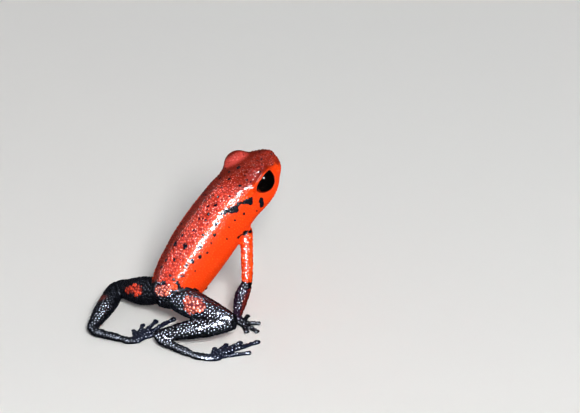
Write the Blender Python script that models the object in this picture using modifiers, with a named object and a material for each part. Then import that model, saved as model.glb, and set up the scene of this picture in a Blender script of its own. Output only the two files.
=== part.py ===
"""A strawberry poison dart frog sitting upright, as a life-size still model.

The frog faces -Y, its right side is -X and the floor is z = 0. Every place below is
written as (forward, right, height) in millimetres from a point on the floor under the
vent, and one function turns it into the model's own metres.
"""
import math

import bmesh
import bpy
from mathutils import Vector

MM = 0.001
# Floor point under the middle of the whole frog, from the point under the vent.
MIDDLE_FORWARD = 4.70
MIDDLE_RIGHT = 1.07

GAP = 0.28              # clear space between parts that meet
BLOCK_SIZE = 30.0       # cube that cuts the trunk at the neck
FLOOR_BLOCK = 60.0      # cube under the floor that cuts the flats
SIDES = (("right", 1), ("left", -1))
SINK = 0.05             # how much of a digit's underside the floor cuts flat

# Trunk and head: centre of each section in the mid plane, pitch of the spine there,
# half width, reach above the centre and reach below it.
TRUNK_SECTIONS = [
    # forward, height, pitch, half_width, above, below
    (0.70, 2.87, 43.0, 0.75, 0.70, 0.60),
    (1.15, 3.27, 43.0, 1.60, 1.45, 1.30),
    (1.95, 4.02, 43.0, 2.35, 2.15, 2.00),
    (3.15, 5.12, 43.0, 2.90, 2.70, 2.55),
    (4.64, 6.69, 43.0, 3.20, 2.97, 2.82),
    (6.30, 8.49, 43.0, 3.38, 3.08, 2.95),
    (8.15, 10.28, 43.0, 3.43, 3.08, 2.85),
    (9.70, 11.83, 42.0, 3.36, 2.92, 2.68),
    (10.95, 13.06, 39.0, 3.38, 2.68, 2.74),
    (12.14, 13.98, 33.0, 3.56, 2.43, 2.83),
    (13.41, 14.73, 27.0, 3.62, 2.22, 2.45),
    (14.55, 15.36, 24.0, 3.02, 2.03, 1.95),
    (15.38, 15.80, 19.0, 2.26, 1.80, 1.38),
    (15.92, 16.04, 13.0, 1.84, 1.60, 1.05),
    (16.26, 16.16, 10.0, 1.38, 1.32, 0.72),
]
RUMP_POLE = (0.52, 2.72)
LIP_POLE = (16.40, 16.28)
TRUNK_SQUARENESS = 2.25     # 2 is an ellipse, more is boxier
TRUNK_RINGS = 34
NECK_FORWARD, NECK_HEIGHT, NECK_PITCH = 11.0, 12.75, 39.5

# Mouth: a groove along both sides of the head, which meet at the lip pole.
MOUTH_ANGLE = -14.0
LIP_HALF_ANGLE = 5.0
MOUTH_DEPTH = 0.20
MOUTH_CORNER_FORWARD = 12.2
MOUTH_FADE = 0.8            # length over which the groove deepens from its corner

# Eyes, lids, nostrils
EYE_RADIUS = 1.45
EYE_PLACE = (13.05, 2.20, 15.60)
EYE_AIM = (0.10, 0.99, 0.06)
LID_PLANE = 0.60            # from the eye's centre out to the edge of the lids
EYE_GAP = 0.16              # clear space round the eye
LID_RADIUS = 1.66
EYE_STEM_RADIUS = 0.92
EYE_STEM_DEPTH = 0.80
EYE_STEPS = 20              # round the eye's axis
GLOBE_STEPS = 8             # from the middle of the globe to the lids
BOWL_RADIUS, BOWL_OUT = 2.5, 2.4    # the cheek's hollow, where it opens outwards
NOSTRIL_PLACE = (15.86, 1.45, 16.87)
NOSTRIL_RADIUS = 0.20
NOSTRIL_SEGMENTS, NOSTRIL_RINGS = 8, 6
LID_SEGMENTS, LID_RINGS = 20, 12

# Limb bones' sleeves of flesh: forward, right, height, half width, half thickness.
UPPER_ARM_RIGHT = [
    (10.6, 1.4, 10.5, 0.60, 0.60),
    (10.5, 2.5, 10.2, 0.76, 0.74),
    (10.0, 3.5, 8.7, 0.68, 0.66),
    (9.4, 4.4, 6.8, 0.66, 0.62),
    (8.95, 5.0, 5.4, 0.58, 0.56),
    (8.9, 5.05, 4.95, 0.46, 0.46),
]
FOREARM_RIGHT = [
    (8.95, 5.05, 5.5, 0.46, 0.46),
    (8.85, 4.9, 4.7, 0.64, 0.60),
    (8.6, 4.5, 3.4, 0.80, 0.72),
    (8.35, 4.3, 2.0, 0.66, 0.60),
    (8.2, 4.15, 0.95, 0.50, 0.44),
    (8.2, 4.15, 0.55, 0.36, 0.32),
]
THIGH_RIGHT = [
    (1.9, 0.7, 4.1, 1.20, 1.10),
    (2.0, 2.2, 4.05, 1.50, 1.42),
    (2.65, 4.1, 3.9, 1.60, 1.48),
    (3.4, 6.2, 3.75, 1.30, 1.22),
    (4.1, 8.0, 3.55, 0.95, 0.92),
    (4.45, 8.8, 3.4, 0.70, 0.70),
]
SHANK_RIGHT = [
    (4.5, 8.7, 3.3, 0.70, 0.70),
    (3.9, 8.0, 3.05, 0.95, 0.92),
    (2.4, 6.6, 2.5, 1.15, 1.08),
    (0.6, 5.0, 1.95, 1.05, 0.98),
    (-1.0, 3.5, 1.3, 0.78, 0.72),
    (-1.9, 2.65, 0.92, 0.56, 0.52),
]
TARSUS_RIGHT = [
    (-1.7, 2.9, 0.95, 0.30, 0.30),
    (-1.7, 3.5, 0.80, 0.54, 0.48),
    (-1.3, 5.1, 0.64, 0.50, 0.44),
    (-0.7, 7.0, 0.50, 0.46, 0.40),
    (-0.5, 7.6, 0.46, 0.38, 0.36),
]
THIGH_LEFT = [
    (1.6, -0.6, 3.9, 1.20, 1.10),
    (1.5, -2.2, 3.36, 1.52, 1.48),
    (1.1, -4.1, 2.64, 1.55, 1.56),
    (0.85, -6.0, 1.97, 1.26, 1.22),
    (0.65, -7.6, 1.5, 0.95, 0.92),
    (0.6, -8.3, 1.35, 0.70, 0.70),
]
SHANK_LEFT = [
    (0.7, -8.3, 1.35, 0.70, 0.70),
    (-0.2, -7.7, 1.30, 0.92, 0.88),
    (-1.9, -6.3, 1.20, 1.06, 0.98),
    (-4.0, -4.9, 1.05, 0.92, 0.84),
    (-5.7, -3.75, 0.85, 0.62, 0.58),
    (-6.6, -3.15, 0.75, 0.50, 0.46),
]
TARSUS_LEFT = [
    (-6.45, -3.3, 0.76, 0.30, 0.30),
    (-6.5, -2.65, 0.70, 0.50, 0.46),
    (-5.85, -1.5, 0.58, 0.46, 0.42),
    (-5.0, -0.2, 0.48, 0.46, 0.40),
    (-4.65, 0.3, 0.46, 0.38, 0.36),
]
LIMB_RINGS = 12
LIMB_SIDES = 12
STEEP = 0.7                 # past this rise a limb's width is set across, not level

# Soles: flat palm and instep, and the point that the digits spread from.
PALM_RIGHT = [
    (8.2, 4.0, 0.50, 0.36, 0.34),
    (8.2, 4.5, 0.38, 0.56, 0.36),
    (8.3, 5.1, 0.30, 0.62, 0.34),
    (8.4, 5.7, 0.24, 0.46, 0.28),
]
SOLE_RIGHT = [
    (-0.6, 7.4, 0.44, 0.38, 0.36),
    (-0.1, 8.2, 0.36, 0.50, 0.36),
    (0.9, 9.2, 0.28, 0.56, 0.33),
    (1.9, 9.7, 0.24, 0.50, 0.28),
]
SOLE_LEFT = [
    (-4.8, 0.1, 0.44, 0.38, 0.36),
    (-4.4, 0.7, 0.36, 0.50, 0.36),
    (-3.5, 1.1, 0.28, 0.56, 0.33),
    (-2.5, 1.05, 0.24, 0.50, 0.28),
]
SOLE_RINGS, SOLE_SIDES = 8, 10

# Digits: each one's heading from straight ahead towards the frog's right, in degrees,
# and its length from the root that they spread from.
FINGERS_ROOT = (8.3, 5.0)
FINGERS = [(-35.0, 1.9), (35.0, 2.0), (84.0, 2.6), (112.0, 2.1)]
FINGER_RADIUS, FINGER_DISC = 0.25, 0.42
TOES_ROOT_RIGHT, TOES_ROOT_LEFT = (1.0, 9.2), (-3.4, 1.05)
TOES_RIGHT = [(-44.0, 2.3), (-25.0, 3.6), (-11.0, 5.0), (1.0, 6.6), (20.0, 4.6)]
TOES_LEFT = [(-62.0, 2.3), (-42.0, 3.6), (-27.0, 5.0), (-13.0, 6.6), (6.0, 4.6)]
TOE_RADIUS, TOE_DISC = 0.25, 0.36
DIGIT_SIDES = 8
# Knuckle, shaft, joint, neck and disc: the share of the digit's length, then the width
# and thickness as shares of its radius. A width of 0 stands for the disc's own.
DIGIT_PROFILE = [
    (0.00, 1.00, 1.00), (0.22, 1.05, 1.05), (0.45, 0.94, 0.94), (0.62, 1.02, 1.02),
    (0.80, 0.88, 0.88), (0.88, 1.00, 0.86), (0.95, 0.00, 0.84), (1.00, 0.60, 0.60),
]

RED = (0.55, 0.035, 0.015, 1.0)
BLACK = (0.012, 0.011, 0.018, 1.0)
MAROON = (0.10, 0.014, 0.012, 1.0)
EYE_BLACK = (0.002, 0.002, 0.002, 1.0)


def place(forward, right, height):
    """The model's own point, in metres, for a place on the frog in millimetres."""
    return Vector((MIDDLE_RIGHT - right, MIDDLE_FORWARD - forward, height)) * MM


def heading(forward, right, height):
    """A unit direction in the model's own axes."""
    return Vector((-right, -forward, height)).normalized()


def clear_scene():
    for item in list(bpy.data.objects):
        bpy.data.objects.remove(item, do_unlink=True)


def make_collection(name):
    group = bpy.data.collections.new(name)
    bpy.context.scene.collection.children.link(group)
    return group


def make_material(name, colour, roughness):
    material = bpy.data.materials.new(name)
    material.use_nodes = True
    shader = material.node_tree.nodes["Principled BSDF"]
    shader.inputs["Base Color"].default_value = colour
    shader.inputs["Roughness"].default_value = roughness
    material.diffuse_color = colour
    return material


def smooth_rows(rows, count):
    """Rows of numbers sampled at even steps on a smooth curve through the given rows."""
    last = len(rows) - 1
    result = []
    for step in range(count):
        along = last * step / (count - 1)
        index = min(int(along), last - 1)
        t = along - index
        before, start = rows[max(index - 1, 0)], rows[index]
        end, after = rows[index + 1], rows[min(index + 2, last)]
        result.append([
            0.5 * (2 * b + (c - a) * t + (2 * a - 5 * b + 4 * c - d) * t ** 2
                   + (3 * b - a - 3 * c + d) * t ** 3)
            for a, b, c, d in zip(before, start, end, after)
        ])
    return result


def loft(name, rings, start_pole, end_pole, group, material):
    """A closed body through rings of points, closed to a point at both ends."""
    shape = bmesh.new()
    loops = [[shape.verts.new(point) for point in ring] for ring in rings]
    first, last = shape.verts.new(start_pole), shape.verts.new(end_pole)
    sides = len(rings[0])
    for near, far in zip(loops, loops[1:]):
        for i in range(sides):
            j = (i + 1) % sides
            shape.faces.new((near[i], near[j], far[j], far[i]))
    for i in range(sides):
        j = (i + 1) % sides
        shape.faces.new((first, loops[0][j], loops[0][i]))
        shape.faces.new((last, loops[-1][i], loops[-1][j]))
    bmesh.ops.recalc_face_normals(shape, faces=shape.faces)
    mesh = bpy.data.meshes.new(name)
    shape.to_mesh(mesh)
    shape.free()
    mesh.shade_smooth()
    mesh.materials.append(material)
    body = bpy.data.objects.new(name, mesh)
    group.objects.link(body)
    return body


def curved_power(value, squareness):
    return math.copysign(abs(value) ** (2.0 / squareness), value)


def trunk_angles():
    """Section angles in degrees, with three close together at each side of the mouth."""
    upper = [15.0 * step for step in range(13)]
    lips = [MOUTH_ANGLE + LIP_HALF_ANGLE, MOUTH_ANGLE, MOUTH_ANGLE - LIP_HALF_ANGLE]
    lower = [-36.0 - 18.0 * step for step in range(7)]
    return upper[::-1] + lips + lower + [-180.0 - angle for angle in reversed(lips)]


def mouth_depth(forward):
    """How deep the groove of the mouth is at a section, nothing behind its corner."""
    return MOUTH_DEPTH * min(max((forward - MOUTH_CORNER_FORWARD) / MOUTH_FADE, 0.0), 1.0)


def make_trunk(name, grow, group, material):
    """The whole trunk and head as one body, each section grown outwards by grow."""
    rings = []
    for forward, height, pitch, width, above, below in smooth_rows(TRUNK_SECTIONS, TRUNK_RINGS):
        tilt = math.radians(pitch)
        ring = []
        for angle in trunk_angles():
            across, upward = math.cos(math.radians(angle)), math.sin(math.radians(angle))
            side = curved_power(across, TRUNK_SQUARENESS)
            rise = curved_power(upward, TRUNK_SQUARENESS)
            in_mouth = abs(upward - math.sin(math.radians(MOUTH_ANGLE))) < 0.0001
            sunk = mouth_depth(forward) if in_mouth and grow == 0.0 else 0.0
            reach = (above if rise > 0.0 else below) + grow
            lift = rise * reach
            ring.append(place(
                forward - math.sin(tilt) * lift,
                side * (width + grow - sunk),
                height + math.cos(tilt) * lift,
            ))
        rings.append(ring)
    rump = place(RUMP_POLE[0] - grow, 0.0, RUMP_POLE[1] - grow)
    lip = place(LIP_POLE[0] + grow, 0.0, LIP_POLE[1] + grow)
    return loft(name, rings, rump, lip, group, material)


def make_limb(name, rows, grow, group, material, rings=LIMB_RINGS, sides=LIMB_SIDES):
    """A length of limb through its rows, with oval sections and round ends."""
    samples = smooth_rows(rows, rings)
    points = [place(*row[:3]) for row in samples]
    whole = (points[-1] - points[0]).normalized()
    level = Vector((0.0, 0.0, 1.0)) if abs(whole.z) < STEEP else Vector((0.0, 1.0, 0.0))
    loops = []
    for index, (point, row) in enumerate(zip(points, samples)):
        ahead = (points[min(index + 1, rings - 1)] - points[max(index - 1, 0)]).normalized()
        side = ahead.cross(level).normalized()
        up = side.cross(ahead)
        wide, thick = (row[3] + grow) * MM, (row[4] + grow) * MM
        loops.append([
            point + side * wide * math.cos(2 * math.pi * i / sides)
            + up * thick * math.sin(2 * math.pi * i / sides)
            for i in range(sides)
        ])
    back, ahead = (points[0] - points[1]).normalized(), (points[-1] - points[-2]).normalized()
    start = points[0] + back * (samples[0][3] / 2 + grow) * MM
    end = points[-1] + ahead * (samples[-1][3] / 2 + grow) * MM
    return loft(name, loops, start, end, group, material)


def digit_rows(base, angle, length, radius, disc):
    """Rows of one finger or toe: knuckle, shaft, joint, neck and the flat disc at its tip."""
    turn = math.radians(angle)
    rows = []
    for share, wide, thick in DIGIT_PROFILE:
        thick_here = radius * thick
        rows.append((
            base[0] + math.cos(turn) * length * share,
            base[1] + math.sin(turn) * length * share,
            thick_here - SINK,
            radius * wide if wide else disc,
            thick_here,
        ))
    return rows


def join_pieces(name, pieces, group, material):
    """One body from pieces that cross each other; the pieces themselves are removed."""
    first, rest = pieces[0], pieces[1:]
    bundle = make_collection(name + "_pieces")
    for piece in rest:
        group.objects.unlink(piece)
        bundle.objects.link(piece)
    union = first.modifiers.new("join", "BOOLEAN")
    union.operation = "UNION"
    union.operand_type = "COLLECTION"
    union.collection = bundle
    bpy.context.view_layer.update()
    evaluated = first.evaluated_get(bpy.context.evaluated_depsgraph_get())
    mesh = bpy.data.meshes.new_from_object(evaluated)
    mesh.name = name
    body = bpy.data.objects.new(name, mesh)
    body.matrix_world = first.matrix_world
    group.objects.link(body)
    for piece in pieces:
        bpy.data.objects.remove(piece, do_unlink=True)
    bpy.data.collections.remove(bundle)
    return body


def make_foot(name, sole, root, digits, radius, disc, group, material):
    """A hand or a foot: its flat sole and its digits, joined."""
    pieces = [make_limb(name + "_sole", sole, 0.0, group, material, SOLE_RINGS, SOLE_SIDES)]
    for number, (angle, length) in enumerate(digits, 1):
        rows = digit_rows(root, angle, length, radius, disc)
        pieces.append(
            make_limb(f"{name}_digit_{number}", rows, 0.0, group, material, len(rows), DIGIT_SIDES))
    return join_pieces(name, pieces, group, material)


def make_turned(name, profile, centre, aim, group, material):
    """A round body turned about its own axis; profile runs (radius, along) from the top."""
    mesh = bpy.data.meshes.new(name)
    points = [(radius * MM, 0.0, along * MM) for radius, along in profile]
    mesh.from_pydata(points, [(i, i + 1) for i in range(len(points) - 1)], [])
    mesh.materials.append(material)
    body = bpy.data.objects.new(name, mesh)
    group.objects.link(body)
    body.location = centre
    body.rotation_euler = aim.to_track_quat("Z", "Y").to_euler()
    turning = body.modifiers.new("turn", "SCREW")
    turning.steps = turning.render_steps = EYE_STEPS
    turning.use_merge_vertices = True
    turning.merge_threshold = 0.00001
    turning.use_smooth_shade = True
    return body


def eye_back(grow):
    """The narrower round back of the eye, from the lids' plane to its deepest point."""
    stem, floor = EYE_STEM_RADIUS + grow, -EYE_STEM_DEPTH - grow
    return [
        (stem, LID_PLANE - grow), (stem, floor + 0.5 * stem), (0.72 * stem, floor + 0.15 * stem),
        (0.0, floor),
    ]


def eye_profile():
    """The part of the globe outside the lids, and its back, which sits in the socket."""
    widest = math.acos(LID_PLANE / EYE_RADIUS)
    turns = [widest * step / GLOBE_STEPS for step in range(1, GLOBE_STEPS + 1)]
    globe = [(EYE_RADIUS * math.sin(turn), EYE_RADIUS * math.cos(turn)) for turn in turns]
    return [(0.0, EYE_RADIUS)] + globe + eye_back(0.0)


def socket_profile():
    """The room round the eye: a bowl that opens outwards through the cheek, and its back."""
    plane = LID_PLANE - EYE_GAP
    rim = math.sqrt((EYE_RADIUS + EYE_GAP) ** 2 - plane ** 2)
    return [(0.0, BOWL_OUT), (BOWL_RADIUS, BOWL_OUT), (rim, plane)] + eye_back(EYE_GAP)


def mirrored(rows):
    """The same rows on the other side of the frog."""
    return [(row[0], -row[1], *row[2:]) for row in rows]


def mirrored_digits(digits):
    return [(-angle, length) for angle, length in digits]


def cut(body, cutter):
    """Takes the cutter's shape out of the body and keeps the cutter as a hidden guide."""
    cutter.hide_render = True
    cutter.display_type = "WIRE"
    difference = body.modifiers.new("cut_" + cutter.name, "BOOLEAN")
    difference.operation = "DIFFERENCE"
    difference.object = cutter


def make_ball(name, centre, radius, segments, rings, group, material):
    shape = bmesh.new()
    bmesh.ops.create_uvsphere(shape, u_segments=segments, v_segments=rings, radius=radius * MM)
    mesh = bpy.data.meshes.new(name)
    shape.to_mesh(mesh)
    shape.free()
    mesh.shade_smooth()
    mesh.materials.append(material)
    ball = bpy.data.objects.new(name, mesh)
    ball.location = centre
    group.objects.link(ball)
    return ball


def make_block(name, size, centre, up, group, material):
    """A cube with its middle at a centre and its top turned towards a direction."""
    shape = bmesh.new()
    bmesh.ops.create_cube(shape, size=size * MM)
    mesh = bpy.data.meshes.new(name)
    shape.to_mesh(mesh)
    shape.free()
    mesh.materials.append(material)
    block = bpy.data.objects.new(name, mesh)
    block.location = centre
    block.rotation_euler = up.to_track_quat("Z", "Y").to_euler()
    group.objects.link(block)
    return block


def make_neck_block(name, side, group, material):
    """A block that fills all there is on one side of the neck's cut, +1 ahead, -1 behind.

    The one behind ends half the gap past the cut and the one ahead starts half before it."""
    slope = math.radians(NECK_PITCH)
    spine = heading(math.cos(slope), 0.0, math.sin(slope))
    centre = place(NECK_FORWARD, 0.0, NECK_HEIGHT) + spine * side * (BLOCK_SIZE - GAP) / 2 * MM
    return make_block(name, BLOCK_SIZE, centre, spine, group, material)


def make_head(group, cutters, red, black):
    """The head with the lids' bulges, both eyes' sockets and the nostrils."""
    trunk = make_trunk("head_whole", 0.0, group, red)
    lids = [
        make_ball(f"lid_{side}", place(EYE_PLACE[0], sign * EYE_PLACE[1], EYE_PLACE[2]),
                  LID_RADIUS, LID_SEGMENTS, LID_RINGS, group, red)
        for side, sign in SIDES
    ]
    head = join_pieces("head", [trunk, *lids], group, red)
    cut(head, make_neck_block("behind_neck", -1, cutters, red))
    for side, sign in SIDES:
        centre = place(EYE_PLACE[0], sign * EYE_PLACE[1], EYE_PLACE[2])
        aim = heading(EYE_AIM[0], sign * EYE_AIM[1], EYE_AIM[2])
        make_turned(f"eye_{side}", eye_profile(), centre, aim, group, black)
        cut(head, make_turned(f"socket_{side}", socket_profile(), centre, aim, cutters, black))
        nostril = place(NOSTRIL_PLACE[0], sign * NOSTRIL_PLACE[1], NOSTRIL_PLACE[2])
        cut(head, make_ball(f"nostril_{side}", nostril, NOSTRIL_RADIUS,
                            NOSTRIL_SEGMENTS, NOSTRIL_RINGS, cutters, black))
    return head


def make_leg(side, lengths, foot, trunk_clearance, group, cutters):
    """The lengths of one leg from the trunk outwards, then its hand or foot.

    Each length gives up the room of the one before it, so they meet face to face."""
    before = trunk_clearance
    for name, rows, material in lengths:
        body = make_limb(f"{name}_{side}", rows, 0.0, group, material)
        cut(body, before)
        before = make_limb(f"{name}_{side}_clearance", rows, GAP, cutters, material)
    foot_name, sole, root, digits, radius, disc, material = foot
    body = make_foot(f"{foot_name}_{side}", sole, root, digits, radius, disc, group, material)
    cut(body, before)
    return body


def make_floor_block(group, material):
    """Everything under the floor, which cuts the flats that the frog rests on."""
    up = Vector((0.0, 0.0, 1.0))
    return make_block("floor_block", FLOOR_BLOCK, -up * FLOOR_BLOCK / 2 * MM, up, group, material)


def main():
    clear_scene()
    frog = make_collection("poison_dart_frog")
    cutters = make_collection("cutters")
    red = make_material("red_skin", RED, 0.35)
    black = make_material("black_skin", BLACK, 0.4)
    maroon = make_material("maroon_skin", MAROON, 0.4)
    eye_black = make_material("eye_black", EYE_BLACK, 0.05)

    make_head(frog, cutters, red, eye_black)
    torso = make_trunk("torso", 0.0, frog, red)
    cut(torso, make_neck_block("ahead_of_neck", 1, cutters, red))
    trunk_clearance = make_trunk("trunk_clearance", GAP, cutters, red)
    floor = make_floor_block(cutters, black)

    arm = [("upper_arm", UPPER_ARM_RIGHT, red), ("forearm", FOREARM_RIGHT, maroon)]
    hand = ("hand", PALM_RIGHT, FINGERS_ROOT, FINGERS, FINGER_RADIUS, FINGER_DISC, black)
    left_arm = [(name, mirrored(rows), material) for name, rows, material in arm]
    left_hand = ("hand", mirrored(PALM_RIGHT), (FINGERS_ROOT[0], -FINGERS_ROOT[1]),
                 mirrored_digits(FINGERS), FINGER_RADIUS, FINGER_DISC, black)
    leg = [
        ("thigh", THIGH_RIGHT, black), ("shank", SHANK_RIGHT, black), ("tarsus", TARSUS_RIGHT, black),
    ]
    foot = ("foot", SOLE_RIGHT, TOES_ROOT_RIGHT, TOES_RIGHT, TOE_RADIUS, TOE_DISC, black)
    left_leg = [
        ("thigh", THIGH_LEFT, black), ("shank", SHANK_LEFT, black), ("tarsus", TARSUS_LEFT, black),
    ]
    left_foot = ("foot", SOLE_LEFT, TOES_ROOT_LEFT, TOES_LEFT, TOE_RADIUS, TOE_DISC, black)
    for side, lengths, end in (
        ("right", arm, hand), ("left", left_arm, left_hand),
        ("right", leg, foot), ("left", left_leg, left_foot),
    ):
        cut(make_leg(side, lengths, end, trunk_clearance, frog, cutters), floor)


main()
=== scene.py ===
# %% [markdown]
# A life-size strawberry poison dart frog, about 22 mm from snout to vent.
# The imported solids give the frog's pose and sizes. This lesson dresses them: it sculpts
# one unbroken skin over the separate solids of flesh, sets glossy eyes in it, covers it
# with fine granules and paints the markings with nodes.
# The first cell loads the solids as a fixed frame.

import math

import bmesh
import bpy
import numpy as np
from mathutils import Matrix, Vector
from mathutils.bvhtree import BVHTree


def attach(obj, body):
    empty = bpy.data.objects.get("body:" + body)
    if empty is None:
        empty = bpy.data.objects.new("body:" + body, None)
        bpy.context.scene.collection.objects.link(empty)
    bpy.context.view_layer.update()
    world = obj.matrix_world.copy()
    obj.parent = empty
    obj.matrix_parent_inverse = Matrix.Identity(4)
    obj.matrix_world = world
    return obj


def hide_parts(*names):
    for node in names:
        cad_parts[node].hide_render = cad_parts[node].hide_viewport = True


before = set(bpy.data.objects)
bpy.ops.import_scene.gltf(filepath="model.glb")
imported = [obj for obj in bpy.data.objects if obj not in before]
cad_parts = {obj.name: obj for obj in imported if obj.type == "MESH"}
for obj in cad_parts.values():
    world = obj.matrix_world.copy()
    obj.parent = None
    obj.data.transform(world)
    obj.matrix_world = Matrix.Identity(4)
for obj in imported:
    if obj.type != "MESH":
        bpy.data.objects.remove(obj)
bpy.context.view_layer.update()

# %% [markdown]
# Everything below is worked out in millimetres, as (forward, right, height) from a point on
# the floor under the vent. That is how a frog is measured. One function turns such a place
# into the frame's axes, where the frog faces -Y and its right side is -X.

# %% Places on the frog
MM = 0.001
MIDDLE_FORWARD = 4.70
MIDDLE_RIGHT = 1.07


def place(forward, right, height):
    """A point of the frame, still in millimetres, for a place on the frog."""
    return Vector((MIDDLE_RIGHT - right, MIDDLE_FORWARD - forward, height))


def heading(forward, right, height):
    """A unit direction in the frame's axes."""
    return Vector((-right, -forward, height)).normalized()


def sided(points, sign):
    """Points on the right side as they are, or mirrored to the left where the sign is -1."""
    return np.array(points) * (1.0, sign, 1.0)


def add_object(name, data):
    """A new object that stands in the scene."""
    made = bpy.data.objects.new(name, data)
    bpy.context.scene.collection.objects.link(made)
    return made


# %% [markdown]
# The photograph was taken from behind the frog's right side, looking down on it with a
# long lens. A long lens from far away keeps the proportions nearly flat, so the camera
# stands 0.7 m off. It is aimed by three facts: which way it faces round the frog, how
# steeply it looks down, and where the point under the vent falls in the picture.

# %% Camera
PICTURE_WIDTH, PICTURE_HEIGHT = 580, 413
CAMERA_TURN = 53.7          # degrees from the frog's heading
CAMERA_DIP = 28.9           # degrees below the horizon
PIXELS_PER_MM = 9.0
VENT_FOOT_PIXEL = (155.5, 329.0)
CAMERA_DISTANCE = 700.0
CAMERA_SENSOR = 36.0
AIM_NEARER = 0.7            # how far the aim lies towards the camera from the vent's plane

turn, dip = math.radians(CAMERA_TURN), math.radians(CAMERA_DIP)
image_right = heading(math.sin(turn), math.cos(turn), 0.0)
away = heading(math.cos(turn), -math.sin(turn), 0.0)
image_up = away * math.sin(dip) + Vector((0.0, 0.0, 1.0)) * math.cos(dip)
camera_back = image_right.cross(image_up)
aim = (
    place(0.0, 0.0, 0.0)
    + image_right * (PICTURE_WIDTH / 2 - VENT_FOOT_PIXEL[0]) / PIXELS_PER_MM
    + image_up * (VENT_FOOT_PIXEL[1] - PICTURE_HEIGHT / 2) / PIXELS_PER_MM
    + camera_back * AIM_NEARER
)
camera = add_object("camera", bpy.data.cameras.new("camera"))
camera.data.sensor_width = CAMERA_SENSOR
camera.data.lens = CAMERA_DISTANCE * PIXELS_PER_MM * CAMERA_SENSOR / PICTURE_WIDTH
camera.data.clip_start, camera.data.clip_end = 0.01, 10.0
camera.matrix_world = (
    Matrix.Translation((aim + camera_back * CAMERA_DISTANCE) * MM)
    @ Matrix((image_right, image_up, camera_back)).transposed().to_4x4()
)
bpy.context.scene.camera = camera
print("camera lens in mm", round(camera.data.lens, 1))

# %% [markdown]
# The shapes are lofts: rows of numbers give the centre and size of a few sections, and a
# smooth curve through the rows gives as many sections as the skin needs. The same rows
# made the solids, so the skin lies where they are.

# %% Lofts through rows of numbers


def smooth_rows(rows, count):
    """Rows of numbers sampled at even steps on a smooth curve through the given rows."""
    table = np.array(rows, dtype=float)
    last = len(rows) - 1
    along = np.linspace(0.0, last, count)
    index = np.minimum(along.astype(int), last - 1)
    t = (along - index)[:, None]
    a = table[np.maximum(index - 1, 0)]
    b, c = table[index], table[index + 1]
    d = table[np.minimum(index + 2, last)]
    return 0.5 * (2 * b + (c - a) * t + (2 * a - 5 * b + 4 * c - d) * t ** 2
                  + (3 * b - a - 3 * c + d) * t ** 3)


class Pile:
    """Closed shapes gathered as plain vertices and faces, ready to be fused into a skin."""

    def __init__(self):
        self.points, self.faces = [], []

    def loft(self, rings, start_pole, end_pole):
        """Adds a closed body through rings of points, closed to a point at both ends."""
        base, sides = len(self.points), len(rings[0])
        for ring in rings:
            self.points.extend(ring)
        first, last = len(self.points), len(self.points) + 1
        self.points.extend((start_pole, end_pole))
        top = base + (len(rings) - 1) * sides
        for row in range(len(rings) - 1):
            near, far = base + row * sides, base + (row + 1) * sides
            for i in range(sides):
                j = (i + 1) % sides
                self.faces.append((near + i, near + j, far + j, far + i))
        for i in range(sides):
            j = (i + 1) % sides
            self.faces.append((first, base + j, base + i))
            self.faces.append((last, top + i, top + j))


pile = Pile()

# %% [markdown]
# The trunk and the head are one body in a frog, with hardly any neck. Fifteen sections from
# the rump to the snout carry it, each a little boxier than an oval. The spine's slope turns
# them, so the frog sits up. The eyes' lids are two balls that swell out of the head.

# %% Trunk and lids
TRUNK_SECTIONS = [
    # forward, height, pitch, half_width, above, below
    (0.70, 2.87, 43.0, 0.75, 0.70, 0.60),
    (1.15, 3.27, 43.0, 1.60, 1.45, 1.30),
    (1.95, 4.02, 43.0, 2.35, 2.15, 2.00),
    (3.15, 5.12, 43.0, 2.90, 2.70, 2.55),
    (4.64, 6.69, 43.0, 3.20, 2.97, 2.82),
    (6.30, 8.49, 43.0, 3.38, 3.08, 2.95),
    (8.15, 10.28, 43.0, 3.43, 3.08, 2.85),
    (9.70, 11.83, 42.0, 3.36, 2.92, 2.68),
    (10.95, 13.06, 39.0, 3.38, 2.68, 2.74),
    (12.14, 13.98, 33.0, 3.56, 2.43, 2.83),
    (13.41, 14.73, 27.0, 3.62, 2.22, 2.45),
    (14.55, 15.36, 24.0, 3.02, 2.03, 1.95),
    (15.38, 15.80, 19.0, 2.26, 1.80, 1.38),
    (15.92, 16.04, 13.0, 1.84, 1.60, 1.05),
    (16.26, 16.16, 10.0, 1.38, 1.32, 0.72),
]
RUMP_POLE, LIP_POLE = (0.52, 2.72), (16.40, 16.28)
TRUNK_SQUARENESS = 2.25     # 2 is an oval, more is boxier
TRUNK_RINGS, TRUNK_SIDES = 100, 72
EYE_PLACE = (13.05, 2.20, 15.60)
LID_RADIUS = 1.66
SIGNS = (1, -1)
SIDES = tuple(zip(("right", "left"), SIGNS))

spine = smooth_rows(TRUNK_SECTIONS, TRUNK_RINGS)


def trunk_point(row, angle, out=0.0):
    """The place on a section at an angle, 0 at the right side and 90 along the back."""
    forward, height, pitch, width, above, below = row
    tilt, turned = math.radians(pitch), math.radians(angle)
    side = math.copysign(abs(math.cos(turned)) ** (2 / TRUNK_SQUARENESS), math.cos(turned))
    rise = math.copysign(abs(math.sin(turned)) ** (2 / TRUNK_SQUARENESS), math.sin(turned))
    lift = rise * ((above if rise > 0.0 else below) + out)
    return (forward - math.sin(tilt) * lift, side * (width + out), height + math.cos(tilt) * lift)


def add_trunk():
    angles = [360.0 * step / TRUNK_SIDES for step in range(TRUNK_SIDES)]
    rings = [[place(*trunk_point(row, angle)) for angle in angles] for row in spine]
    pile.loft(rings, place(RUMP_POLE[0], 0.0, RUMP_POLE[1]), place(LIP_POLE[0], 0.0, LIP_POLE[1]))


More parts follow.
